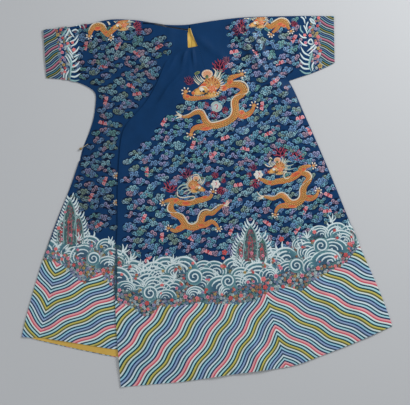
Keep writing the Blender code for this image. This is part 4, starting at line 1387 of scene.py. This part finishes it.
blossomDyes = {
    "coral": {0: (236, 206, 160), 0.18: (210, 78, 88), 0.6: (228, 122, 124), 1: (236, 172, 166)},
    "scarlet": {0: (226, 150, 120), 0.25: (176, 44, 58), 0.8: (210, 88, 86), 1: (224, 136, 116)},
    "rose": {0: (132, 40, 70), 0.3: (210, 92, 124), 1: (236, 182, 192)},
    "straw": {0: (110, 84, 36), 0.4: (170, 138, 72), 1: (206, 188, 130)},
    "lilac": {0: (84, 76, 128), 0.5: (146, 142, 180), 1: (200, 198, 216)},
}
blossomFlosses = [discFloss(name + "Blossom", dyes) for name, dyes in blossomDyes.items()]
# small stones; their dyes are a coil's and its rim's
pebble = {"size": (1.0, 1.8), "wide": (1.0, 1.3), "pack": 0.78, "blossoms": 0.07}
pebbleDyes = [((140, 164, 168), (24, 50, 68)), ((182, 196, 200), (38, 66, 88)),
    ((90, 138, 138), (20, 46, 58)), ((138, 144, 178), (36, 46, 82)), ((150, 138, 96), (46, 50, 44)),
    ((188, 208, 206), (44, 82, 94)), ((104, 142, 170), (24, 50, 80)), ((184, 130, 136), (62, 44, 60)),
    ((168, 110, 80), (58, 42, 42))]
coreDyes = [((126, 60, 84), (56, 34, 58)), ((172, 108, 118), (76, 44, 66)), ((48, 96, 104), (22, 54, 70)),
    ((72, 124, 112), (28, 66, 66)), ((118, 86, 74), (56, 40, 44)), ((120, 140, 130), (50, 74, 72))]


def stoneFlosses(name, dyes, turns):
    return [curlFloss(f"{name}_{i}", {0: rim, 0.3: dye, 0.7: dye, 1: rim}, turns)
            for i, (dye, rim) in enumerate(dyes)]


pebbleFlosses = stoneFlosses("pebble", pebbleDyes, 1.3)
coreFlosses = stoneFlosses("core", coreDyes, 1.2)
blossom10 = makeDisc("blossom10", 10, dents=0.28)


def arcPoints(radius, start, end, count, shrink=0.0):
    points = []
    for i in range(count + 1):
        ux, uy = heading(start + (end - start) * i / count)
        r = radius - shrink * i / count
        points.append((r * ux, r * uy))
    return points


# wave domes: how far each inner rope shifts, then a rope's radius, width, start and end, and
# how many fingers of foam break over it
dome = {"radius": 12.2, "foot": 3.0, "drop": 0.7}
domeShapes = [
    (0.6, ((11.1, 1.9, -4, 192), (8, 1.7, -6, 186), (4.9, 1.6, -8, 186), (2, 1.4, -10, 190))),
    (-0.8, ((11, 2, 12, 196), (7.6, 1.8, 6, 192), (4.4, 1.6, 0, 186), (1.4, 1.4, -20, 196))),
    (1.1, ((11.1, 2, -6, 158), (8.2, 2, -10, 166), (5.2, 1.9, -12, 174), (2.3, 1.6, -20, 190))),
    (0.6, ((11.1, 2.1, -4, 184), (8, 1.9, -6, 180), (4.9, 1.9, -8, 176), (2, 1.6, -10, 180)), 4),
    (-0.8, ((11, 2.3, 4, 190), (7.6, 2, 0, 186), (4.4, 1.9, 0, 180)), 3),
]


def makeDome(shift, ropes, fingers=0):
    # a breaking wave: ropes of pale floss over dark water, flat at its foot
    base = stampAt(round16, *middle(0, 0), dome["radius"], rise=0.12, material=deepDisc)
    bpy.context.scene.collection.objects.link(base)
    selectOnly(base)
    bisected((0, -square(dome["foot"])), (1, -square(dome["foot"])))
    parts = [putAway(base)]
    for k, (radius, wide, start, end) in enumerate(ropes):
        line = [(x + shift * k, y - dome["drop"] * k) for x, y in arcPoints(radius, start, end, 8)]
        parts.append(stroke("rope", home(line), (1.0, wide, wide, 0.8), foam, 3.0, crown=0.45,
                            seat=0.15))
    for k in range(fingers):
        ux, uy = heading(128 - 22 * k)
        line = [(ux * 10.6, uy * 10.6), (ux * 13.4 - 0.5, uy * 13.4 + 0.3),
                (ux * 16.0 + 0.9, uy * 16.0 + 1.6)]
        parts.append(stroke("finger", home(line), (1.9, 1.7, 0.5), foam, 2.0, crown=0.5, seat=0.15))
    return motif("dome", parts)


def makeSpiral():
    coil = home(arcPoints(7.9, -30, 640, 34, 7.1))
    return motif("spiral", discs([(0, 0, 8.5, 8.5, 0, deepDisc)], *middle(0, 0), seat=0.0, rise=0.2)
                 + [stroke("coil", coil, (1.0, 2.1, 1.8, 1.6, 1.3), foam, 2.0, crown=0.5, seat=0.3)])


def makeSpray(fingers):
    # foam fingers fanned from one root, each with its turn and reach
    parts = []
    for turn, reach in fingers:
        ux, uy = heading(turn + 50)
        line = [(0, 0), (ux * reach * 0.5 + uy * 0.9, uy * reach * 0.5 - ux * 0.9),
                (ux * reach, uy * reach)]
        parts.append(stroke("finger", home(line), (1.3, 1.5, 0.5), foam, 2.0, crown=0.8))
    return motif("spray", parts)


domeMotifs = [makeDome(*shape) for shape in domeShapes]
spiralMotif = makeSpiral()
sprayMotifs = [makeSpray(((-34, 5.4), (-2, 6.8), (28, 7.0), (60, 5.6))),
               makeSpray(((-20, 6.4), (14, 7.4), (46, 6.2)))]
fingerMotif = motif("finger", [stroke("finger", home([(-1.2, 0), (2.2, 0.1), (5.2, 2.2)]),
                                      (1.7, 1.5, 0.5), foam, 1.8, crown=0.8)])


def fringe(line, every, outward, size=1.0):
    # foam fingers set along a rock's side, all reaching out and up
    path, length = smoothLine(line, 200)
    count = max(2, round(length / square(every)))
    made = []
    for i in range(count + 1):
        place = path[round(200 * i / count)]
        made.append(stamp(fingerMotif, place.real, place.imag, size * random.uniform(0.8, 1.15),
                          turn=(14 + 24 * i / count) * outward, flip=outward < 0, seat=0.5))
    return made


rockShape = {"side": ((1.3, 0), (1.15, 0.45), (0.8, 0.8), (0, 1.02)), "stonesPer": 2.2,
             "insets": ((0.62, teal), (0.3, coral)), "fringeEvery": 3.3, "fringeSize": 1.3}
# mountains: column, row and pillars, each with its shift, height and half width
mountains = {
    "front": [(250.5, 260, ((-9.5, 20, 3.9), (11.5, 22, 4.1), (0, 34, 5.7))),
        (120, 270, ((0, 15, 3.9),)), (352, 246, ((0, 18, 3.9),))],
    "inner": [(70, 244, ((-8, 24, 3.9), (8.5, 28, 4.1), (0, 44, 5.2)))],
}


def pillar(x, row, tall, half, seat):
    # one rock of a mountain, filled with curled stones and edged with foam
    parts = discs([(0, tall * 0.42, half * 1.15, tall * 0.58, 0, tealDisc)], x, row, seat=seat,
                  rise=0.5)
    for _ in range(round(tall * half / rockShape["stonesPer"])):
        lift = random.uniform(0, 0.86)
        aside = random.uniform(-0.85, 0.85) * (1 - lift ** 2.2)
        parts.append(stampAt(round9, x + aside * half, row - lift * tall,
                             random.uniform(*pebble["size"]), turn=random.uniform(0, 180),
                             seat=seat + 0.4, material=random.choice(coreFlosses)))
    for mirror in (1, -1):
        side = [(mirror * half * across, tall * up) for across, up in rockShape["side"]]
        line = [(x + sx, row - sy) for sx, sy in side]
        parts += fringe(line, rockShape["fringeEvery"], mirror, rockShape["fringeSize"])
        parts.append(stroke("ridge", line, (1.2, 1.4, 1.4, 1.2), mint, crown=0.8, seat=seat + 0.6))
        for inset, shade in rockShape["insets"]:
            inner = [(x + sx * inset, row - sy * (0.55 + inset * 0.42)) for sx, sy in side]
            parts.append(stroke("ridge", inner, (0.8, 1.1, 1.1, 0.7), shade, 2.4, crown=0.6,
                                seat=seat + 0.7))
    for n, kind in enumerate((2, 1)):
        parts.append(stampAt(blossom10, x + (-1) ** n * half * 0.2, row - tall * (0.2 + 0.3 * n),
                             1.9 - 0.2 * n, seat=seat + 1.1, material=blossomFlosses[kind]))
    return parts


# the crest of the waves, their foot, and how the rows are spaced
waterLines = {
    "front": {"top": [(112, 247), (120, 251), (133, 260), (150, 263), (164, 258), (177, 256), (195, 260),
        (215, 260), (233, 257), (245, 258), (262, 254), (272, 249), (281, 249), (300, 238), (320, 226),
        (345, 221), (356, 236)],
        "foot": [(112, 284), (135, 294), (150, 300), (180, 294), (210, 292), (240, 292), (262, 282),
        (290, 274), (320, 264), (350, 250), (362, 244)], "cols": (119, 352), "gems": 44, "step": 16.5,
        "chance": (1, 1, 0.8, 0.55, 0.35)},
    "inner": {"top": [(40, 240), (56, 240), (66, 244), (80, 238), (95, 236), (112, 240), (120, 248)],
        "foot": [(40, 254), (56, 254), (75, 262), (90, 266), (105, 266), (116, 276)], "cols": (44, 116),
        "gems": 12, "step": 15, "chance": (1, 0.9, 0.6, 0.4, 0)},
}
spirals = {
    "front": [(194.3, 276.6, 1, 0, 0), (228.2, 281, 0.9, 20, 1), (150, 293, 0.95, 0, 0),
        (296.2, 265.4, 0.9, 10, 0), (321, 245.6, 0.95, 0, 1)],
    "inner": [(93.6, 258.4, 0.85, 0, 0)],
}
# foam: column, row, size, turn, mirrored
sprays = {
    "front": [(171, 262, 1.2, -4, 0), (122, 252, 1.3, -10, 0), (130, 259, 1.2, -24, 0),
        (138, 265, 1.1, -30, 0), (176, 277, 1.2, 6, 1), (240, 262, 1, 40, 0), (306, 238, 1.1, 20, 0),
        (330, 222, 1.2, 10, 0)],
    "inner": [(78, 240, 1.1, 10, 0), (108, 243, 1.1, -10, 0)],
}
# blossoms: column, row, size and floss
treasures = {
    "front": [(193, 263, 1.9, 0), (222, 266, 2.2, 0), (162, 284.5, 2.4, 0), (161.3, 293.4, 2.2, 0),
        (136.3, 298, 2.4, 0), (119.6, 290, 2.2, 2), (119, 299, 1.8, 2), (125.5, 302, 2.1, 2),
        (147, 303, 2.6, 1), (148, 309, 2, 0), (172, 299.4, 2.3, 1), (185.4, 296.6, 2.6, 2),
        (197, 298, 2.3, 0), (207.7, 297, 2.2, 2), (230.6, 298, 2.6, 1), (241, 295.4, 2.4, 0),
        (224.6, 252.3, 3, 1), (223, 258, 1.8, 0), (166.6, 254, 1.6, 2), (281.3, 239, 3, 1),
        (287.5, 243, 1.8, 2), (314.3, 232, 2.3, 0), (335.7, 256.6, 2.5, 0), (345.5, 254.8, 2.6, 1),
        (350, 244, 2.2, 0), (280.6, 268, 2.4, 2), (263.4, 279, 3, 0), (275.9, 276, 2.6, 2),
        (289.3, 281, 2.8, 0), (301.8, 275.4, 2.5, 2), (317.9, 268, 2.5, 0), (265.2, 287, 2.8, 1),
        (272, 288.8, 2.4, 0), (260, 292, 2.2, 1), (335, 266, 2, 0), (283, 286.6, 2.2, 1),
        (215, 294, 1.8, 3), (178, 296, 1.8, 3), (130, 295, 2, 3), (253, 290, 2, 3), (308, 269, 1.8, 4),
        (203, 292, 1.8, 4), (154, 305, 2, 4), (295, 276, 1.9, 3), (328, 263, 1.8, 4), (222, 294, 1.9, 0),
        (248, 282, 2, 2), (343, 262, 1.8, 2), (190, 301, 1.6, 0), (141, 305, 1.8, 2)],
    "inner": [(58.8, 228, 2.2, 0), (65.4, 212, 1.6, 2), (56, 249, 2.2, 0), (68.5, 258, 2, 2),
        (81, 273, 2.3, 0), (103.3, 270, 2.3, 0), (112, 276.6, 2.2, 2), (88, 272, 1.8, 3), (48, 252, 2, 2),
        (74, 265, 2, 1), (96, 271, 1.8, 4), (62, 259, 2, 0), (109, 272, 1.8, 1), (84, 268, 1.8, 3),
        (78, 270, 1.9, 2), (111, 284, 1.9, 0), (54, 257, 1.7, 4), (105, 279, 1.7, 4)],
}
# waves: each row of domes is smaller and lower than the last, and all keep off the spirals
water = {"rows": 5, "sizes": (0.68, 0.78, 0.9, 1.06), "shrink": 0.03, "below": 11, "rowDrop": 8.2,
         "jitter": (3, 2), "wide": (1.12, 1.42), "lean": 0.8, "tilt": 24, "flipped": 0.4,
         "seat": 0.4, "rowRise": 0.6, "oddRise": 0.3, "clear": 8, "gemsClear": 8.66,
         "foamed": 0.55, "foamAside": 8, "foamSize": (0.6, 0.9), "foamTilt": 40}
shores = {"front": (240, 117, 318, 362), "inner": (240, 38, 292, 116.5), "tries": 16000}


def lineAt(places, col):
    return float(np.interp(col, [p[0] for p in places], [p[1] for p in places]))


def pebbles(inZone, box, blossoms, tries):
    # small curled stones and blossoms, packed close round the listed blossoms
    laid, made = [(col, row, size) for col, row, size, _ in blossoms], []
    low, left, high, right = box
    for _ in range(tries):
        col, row = random.uniform(left, right), random.uniform(low, high)
        size = random.uniform(*pebble["size"])
        shade = random.choice(pebbleFlosses)
        if inZone(col, row) and all((col - x) ** 2 + (row - y) ** 2
                                    > (pebble["pack"] * (size + r)) ** 2 for x, y, r in laid):
            laid.append((col, row, size))
            blossom = random.random() < pebble["blossoms"]
            made.append(stampAt(blossom10 if blossom else round9, col, row, size,
                                wide=random.uniform(*pebble["wide"]),
                                turn=random.uniform(0, 180), seat=0.1, rise=0.7,
                                material=random.choice(blossomFlosses) if blossom else shade))
    return made


def blossomsAt(places, seat, rise):
    return [stampAt(blossom10, col, row, size, turn=col * 7, seat=seat, rise=rise,
                    material=blossomFlosses[kind]) for col, row, size, kind in places]


def shore(side):
    # the stones between the foot of the waves and the stripes
    top, low = waterLines[side]["top"], borders[side + "Stripes"]
    return pebbles(lambda col, row: lineAt(top, col) + 4 < row < lineAt(low, col) + 0.8,
                   shores[side], treasures[side], shores["tries"])


def offSpirals(side, x, y, apart):
    return all((x - a) ** 2 + (y - b) ** 2 > apart ** 2 for a, b, *_ in spirals[side])


def waves(side):
    # rows of domes along the crest, each row laid over the one before
    lines, parts = waterLines[side], []
    top, foot = lines["top"], lines["foot"]
    start, end = lines["cols"]
    jitterX, jitterY = water["jitter"]
    for k in range(water["rows"]):
        col = start + (k % 2) * lines["step"] / 2
        odd = 0
        while col < end:
            odd = 1 - odd
            x = col + random.uniform(-jitterX, jitterX)
            size = random.choice(water["sizes"]) - water["shrink"] * k
            y = (lineAt(top, x) + water["below"] * size + water["rowDrop"] * k
                 + random.uniform(-jitterY, jitterY))
            slope = math.degrees(math.atan2(lineAt(top, x - 5) - lineAt(top, x + 5), 10))
            if (y < lineAt(foot, x) + 2 and offSpirals(side, x, y, water["clear"])
                    and random.random() < lines["chance"][k]):
                kind = random.randrange(5) if k < 2 else random.randrange(3)
                tilt = slope * water["lean"] + random.uniform(-water["tilt"], water["tilt"])
                flip = random.random() < water["flipped"]
                seat = water["seat"] + water["rowRise"] * k
                parts.append(stampWhole(domeMotifs[kind], x, y, size, tilt, flip,
                                        seat=seat + water["oddRise"] * odd,
                                        wide=random.uniform(*water["wide"])))
                if random.random() < water["foamed"]:  # a tuft of foam at its side
                    tuft = random.choice(sprayMotifs)
                    aside = random.uniform(-water["foamAside"], water["foamAside"])
                    size = random.uniform(*water["foamSize"])
                    turn = slope + random.uniform(-water["foamTilt"], water["foamTilt"])
                    parts.append(stampWhole(tuft, x + aside, y - 2, size, turn, seat=seat + 0.5))
            col += lines["step"]
    return parts


def caughtStones(side):
    # blossoms, alone or with two or three stones, caught between the waves
    lines, parts = waterLines[side], []
    for _ in range(lines["gems"]):
        col = random.uniform(*lines["cols"])
        row = random.uniform(lineAt(lines["top"], col) + 7, lineAt(lines["foot"], col))
        if not offSpirals(side, col, row, water["gemsClear"]):
            continue
        for n in range(random.choice((1, 3, 4))):
            shade = random.choice(pebbleFlosses if n else blossomFlosses[:4])
            ux, uy = (math.cos(2.1 * n), math.sin(2.1 * n)) if n else (0, 0)
            parts.append(stampAt(round9 if n else blossom10, col + 2.5 * ux, row + 2 * uy,
                                 1.3 if n else 1.8, seat=2.5 + 0.1 * n, material=shade))
    return parts


def waterFor(side):
    parts = shore(side)
    for col, row, pillars in mountains[side]:
        for k, (dx, tall, half) in enumerate(pillars):
            parts += pillar(col + dx, row, tall, half, 0.3 + 0.35 * k)
    parts += waves(side)
    for col, row, size, turn, flip in spirals[side]:
        parts.append(stampWhole(spiralMotif, col, row, size, turn, flip, seat=2.9))
    for i, (col, row, size, turn, flip) in enumerate(sprays[side]):
        parts.append(stampWhole(sprayMotifs[i % 2], col, row, size, turn, flip, seat=1.6))
    return parts + caughtStones(side) + blossomsAt(treasures[side], 2.6, 0.9)


# sleeve bands: foam strokes by their width, then the stones' edge and the blossoms
sleeveBands = {
    "left": {"strokes": [(2.4, [(69, 55), (71.5, 62), (71, 70), (70, 80)]),
        (1.9, [(71.5, 62.6), (75, 60.8), (78.6, 56.6)]), (2, [(71.5, 67.4), (76, 66), (80, 61.6)]),
        (2, [(71, 72), (76, 71.6), (80.6, 67.6)]), (2, [(71, 76.4), (75.5, 76.8), (80.6, 73.6)]),
        (1.9, [(70.5, 80), (75, 81), (79.4, 80)]), (1.6, [(65.5, 56), (68, 59), (70.5, 64.4)]),
        (1.6, [(67.5, 54), (70, 57.5), (72, 61.4)]), (1.6, [(69.6, 52.4), (72, 56), (73.6, 59.4)]),
        (1.9, [(67, 45.6), (70, 50), (73.6, 55)]), (1.7, [(69.4, 43.6), (68, 49), (69.6, 54)]),
        (1.7, [(72.6, 54), (76.6, 51), (79.4, 46.4)]), (1.6, [(74, 57.6), (77, 55.6), (80.6, 54.6)]),
        (1.8, [(71.4, 46.4), (76, 43.6), (78.6, 38.6)]), (1.7, [(70, 42), (75, 39.8), (78.4, 35)]),
        (1.8, [(62, 36.4), (65.4, 32), (68, 28)]), (1.8, [(65, 37.6), (67.8, 33), (69.6, 28.4)]),
        (1.8, [(69, 28.4), (71, 33), (74.6, 37.6)]), (1.6, [(72, 31.4), (75.6, 29.6), (79, 31.6)]),
        (1.6, [(76, 26), (79.2, 24.6), (81, 28.4)]), (1.5, [(80, 25), (83, 24.8), (85, 28.8)]),
        (1.7, [(66, 80), (66.6, 75), (69.4, 70)]), (1.5, [(63.4, 78), (64.4, 73), (67.2, 68.6)]),
        (1.6, [(66, 42), (69, 38), (73, 36.4)])],
        "stones": [(56, 28), (68, 27), (73, 50), (71, 79), (62.5, 79), (59, 50)],
        "blossoms": [(58, 35, 2, 3), (61.6, 46, 2, 0), (62.4, 52.6, 2, 2), (60, 40, 1.8, 4),
        (68, 43.6, 1.9, 0), (74, 50, 2.2, 0), (72.6, 42.6, 1.8, 0), (64, 65, 1.9, 3), (65, 72, 1.8, 0),
        (61, 30, 1.8, 1), (64.8, 60, 1.8, 4), (74, 66, 1.4, 0)]},
    "right": {"strokes": [(2.4, [(311.6, 53), (309.8, 60), (308.8, 66), (311.4, 72)]),
        (1.9, [(309.6, 56), (304, 53), (300.6, 47)]), (2, [(309, 60.4), (303.4, 58.6), (299.6, 53)]),
        (2, [(309, 64.6), (303.4, 63.8), (299, 59)]), (2, [(309.4, 69), (303.6, 68.6), (299, 64.6)]),
        (1.9, [(311, 73), (305, 73.4), (299.4, 70)]), (1.7, [(314, 62), (312, 66), (312.6, 71)]),
        (1.8, [(309.6, 19), (311.6, 22.4), (316, 24.6)]), (1.6, [(310, 18.4), (313, 20.4), (315.4, 24)]),
        (1.7, [(303.6, 25.6), (306, 30), (307.2, 34.4)]), (1.7, [(312, 27.4), (308.8, 30.6), (307, 34.4)]),
        (1.7, [(307.6, 42.6), (310.6, 39), (313.4, 43.6)]),
        (1.6, [(307.6, 42.6), (310.4, 44.4), (313.4, 44)]),
        (1.7, [(315, 44.4), (311, 48.4), (306.8, 51.8)]),
        (1.7, [(316.4, 46.8), (312.6, 50.8), (308.4, 54.4)]),
        (1.6, [(303, 33), (300.4, 30), (300.6, 25.6)]), (1.7, [(300.6, 17), (303.6, 19), (305, 24)]),
        (1.7, [(300, 14.6), (304, 15), (306, 19)]), (1.7, [(306.4, 38), (302, 37.4), (298.8, 34)]),
        (1.8, [(307, 46), (302.6, 44.6), (299.4, 40.6)]), (1.6, [(316, 17), (313.8, 20), (313.4, 25.4)]),
        (1.6, [(308, 22), (306.4, 26), (307.4, 30)])],
        "stones": [(310, 16), (320, 15), (320.5, 67), (313, 72), (311, 50), (309, 30)],
        "blossoms": [(318.4, 18, 1.9, 0), (318, 37, 2.2, 0), (316, 43.4, 2.1, 2), (318, 48.4, 2, 3),
        (317.8, 56.6, 2.1, 0), (320, 66, 2.8, 3), (304.6, 35.4, 1.9, 0), (310, 35.6, 2, 0),
        (305.4, 43, 1.8, 2), (315.6, 29, 1.8, 4), (314, 51, 1.7, 4), (315, 63, 1.7, 4),
        (317.6, 26, 1.8, 1)]},
}


def sleeveBand(side):
    about = sleeveBands[side]
    parts = pebbles(lambda col, row: inside(about["stones"], col, row), (14, 52, 82, 324),
                    about["blossoms"], 14000)
    for i, (wide, line) in enumerate(about["strokes"]):
        parts.append(stroke("finger", line, (wide * 0.7, wide, wide * 0.9, 0.5),
                            foam if i % 5 else aqua, 1.8, seat=0.5 + 0.12 * (i % 4)))
    return parts + blossomsAt(about["blossoms"], 1.0, 0.8)


say("clouds and dragons")
frontShells = [overlap, leftHalf]
allShells = [leftHalf, rightHalf, overlap]
# lines that the embroidery ends at; what lies on the right of a line is cut away
seams = {
    "side": [((377, 288), (349, 221)), ((349, 221), (317.4, 143.7)), ((317.4, 143.7), (288, 81))],
    "innerShoulder": [((150, 18.6), (100, 22.4)), ((100, 22.4), (44, 29.2))],
    "outerShoulder": [((335, 16.2), (276, 16.6)), ((276, 16.6), (230, 19.2))],
    "frontWater": [((117.9, 200), (117.2, 320)), ((379, 290.5), (349, 219.5))],
    "innerWater": [((116.6, 320), (116.9, 200)), ((69.6, 189.5), (42.4, 262.8))],
    "innerBand": [((100, 22.6), (44, 29.4))],
    "outerBand": [((335, 16.4), (276, 16.8)), ((289.5, 82), (334, 64))],
}
frontClouds = scatterClouds("front")
innerClouds = [part for _, part in scatterClouds("inner")]
bodyClouds = [part for row, part in frontClouds if row >= cloud["sleeveTo"]]
sleeveClouds = [part for row, part in frontClouds if row < cloud["sleeveTo"]]
for col, row, turn in batPlaces:
    flying = stampWhole(batMotif, col, row, bat["size"], turn, seat=0.2)
    if col < bat["lapCol"] or (row < bat["sleeveRow"] and col < bat["sleeveCol"]):
        innerClouds.append(flying)
    else:
        (bodyClouds if row >= cloud["sleeveTo"] else sleeveClouds).append(flying)
for place in peepingPaws:
    innerClouds += paw(*place)
cloudsFront = sewOn("clouds_front", bodyClouds, frontShells, seams["side"])
cloudsOuter = sewOn("clouds_outer_sleeve", sleeveClouds, frontShells)
cloudsInner = sewOn("clouds_inner_front", innerClouds, [rightHalf])
# painted shade: the inner front's clouds, bats and peeping paws are darkened for the shade beside the
# overlap
for own in cloudsInner.material_slots:  # the inner front's floss is duller
    own.material = own.material.copy()
    base = own.material.node_tree.nodes["Principled BSDF"].inputs["Base Color"]
    plug(base, deepened(base.links[0].from_socket, cloud["paintedShade"]))
dragonChest = sewOn("dragon_chest", dragon(chestDragon), frontShells)
dragonLow = sewOn("dragon_lower_left", dragon(lowerLeftDragon), frontShells)
dragonSide = sewOn("dragon_lower_right", dragon(lowerRightDragon), frontShells)
dragonInner = sewOn("dragon_inner_shoulder", dragon(shoulderDragon), [rightHalf],
                    seams["innerShoulder"])
dragonOuter = sewOn("dragon_outer_shoulder", dragon(rightShoulderDragon), [leftHalf],
                    seams["outerShoulder"])

say("waves and rocks")
frontWater, innerWater = waterFor("front"), waterFor("inner")
wavesFront = sewOn("waves_front", frontWater, frontShells, seams["frontWater"])
wavesInner = sewOn("waves_inner_front", innerWater, [rightHalf], seams["innerWater"])
bandInner = sewOn("sleeve_band_inner", sleeveBand("left"), [rightHalf], seams["innerBand"])
bandOuter = sewOn("sleeve_band_outer", sleeveBand("right"), [leftHalf], seams["outerBand"])

say("neck, button and sheets")
# the yellow silk that rolls out of the neck slit, and beside it the neck's edge as a near-black stroke,
# painted shadow of the narrow slit
neck = {"edge": [(143, 22.6), (152, 23.6), (164, 25.8), (176, 28.2), (188, 30.4)],
        "folds": [([(189.0, 28.4), (188.9, 37), (189.7, 47)], (1.5, 2.8, 3.8)),
                  ([(189.8, 28.6), (191.8, 37), (194.8, 45.6)], (1.3, 3.2, 4.8))]}
neckShadowFloss = strokeFloss("neckShadow", {0: (8, 12, 24), 0.5: (16, 24, 42), 1: (8, 14, 28)})
neckShadow = sewOn("neck_shadow", [stroke("edge", neck["edge"], (1.0, 1.8, 2.0, 2.1, 1.8), neckShadowFloss,
                                      2.0, crown=0.8, seat=0.1)], allShells)
neckFolds = sewOn("neck_lining", [stroke("fold", line, widths, yellow, 2.0, across=6, crown=2.2,
                                         seat=0.2) for line, widths in neck["folds"]], allShells)

# the ball button's cord: its route in metres, and two plies that lie aside on it
toggle = {"route": [(-0.4587, 0.1962, 0.0046), (-0.4537, 0.1996, 0.0053), (-0.4494, 0.2024, 0.0054),
                    (-0.4452, 0.2053, 0.0054), (-0.4409, 0.2082, 0.0055),
                    (-0.4362, 0.2113, 0.0055)],
          "ply": 0.62 * mm, "twist": 0.52 * mm, "turns": 3.2, "steps": 44, "aside": (-0.56, 0.83),
          "brass": {0.3: (96, 72, 40), 0.5: (176, 142, 84), 0.7: (214, 188, 128)},
          "cream": {0.3: (150, 138, 104), 0.7: (214, 204, 172)}}


def brassFinish():
    material, shader = newMaterial("wornBrass", 0.34, metallic=1.0)
    coords = objectPlace(shader)[0]
    worn = noiseOf(coords, 420, 4)
    plug(shader.inputs["Roughness"], ramp(worn, {0.3: 0.6, 0.7: 0.28}))
    finishSurface(shader, ramp(worn, toggle["brass"]), noiseOf(coords, 1600), 0.15 * mm, 0.6)
    return material


def cordFinish():
    material, shader = newMaterial("creamCord", 0.7, sheen=0.3)
    fibre = noiseOf(objectPlace(shader)[0], 2600, 3)
    finishSurface(shader, ramp(fibre, toggle["cream"]), fibre, 0.1 * mm, 0.6)
    return material


def makePly(turned, material):
    bpy.ops.object.select_all(action="DESELECT")
    bpy.ops.curve.primitive_nurbs_path_add()
    strand = bpy.context.object
    spline = strand.data.splines[0]
    line = np.array(toggle["route"])
    spline.points.add(toggle["steps"] + 1 - len(spline.points))
    for i in range(toggle["steps"] + 1):
        share = i / toggle["steps"]
        x, y, z = (np.interp(share * (len(line) - 1), range(len(line)), line[:, k])
                   for k in range(3))
        angle = 2 * math.pi * (toggle["turns"] * share + turned)
        out = toggle["twist"] * math.cos(angle)
        ux, uy = toggle["aside"]
        spline.points[i].co = (x + ux * out, y + uy * out, z + toggle["twist"] * math.sin(angle), 1)
    strand.data.bevel_depth = toggle["ply"]
    strand.data.bevel_resolution = 2
    strand.data.use_fill_caps = True
    strand.data.materials.append(material)
    return strand


def makeCord():
    cream = cordFinish()
    selectOnly(*[makePly(turned, cream) for turned in (0, 0.5)])
    bpy.ops.object.convert(target="MESH")
    bpy.ops.object.join()
    cord = bpy.context.view_layer.objects.active
    cord.name = "button_cord"
    cord.data.name = "button_cord"
    selectOnly(cord)
    bpy.ops.object.shade_smooth()
    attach(cord, "root")
    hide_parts("toggle_cord")


makeCord()
for own in frame["nodes"]["toggle_button"].material_slots:
    own.material = brassFinish()

floorLook = {"size": 9.0, "below": 0.02 * mm, "dye": (196, 198, 200)}


def makeFloor():
    bpy.ops.object.select_all(action="DESELECT")
    bpy.ops.mesh.primitive_plane_add(size=floorLook["size"], location=(0, 0, 0))
    floor = bpy.context.object
    floor.name = "floor"
    floor.location.z = -floorLook["below"]
    material, shader = newMaterial("paleFloor", 0.85)
    shader.inputs["Base Color"].default_value = colour(floorLook["dye"])
    floor.data.materials.append(material)


makeFloor()
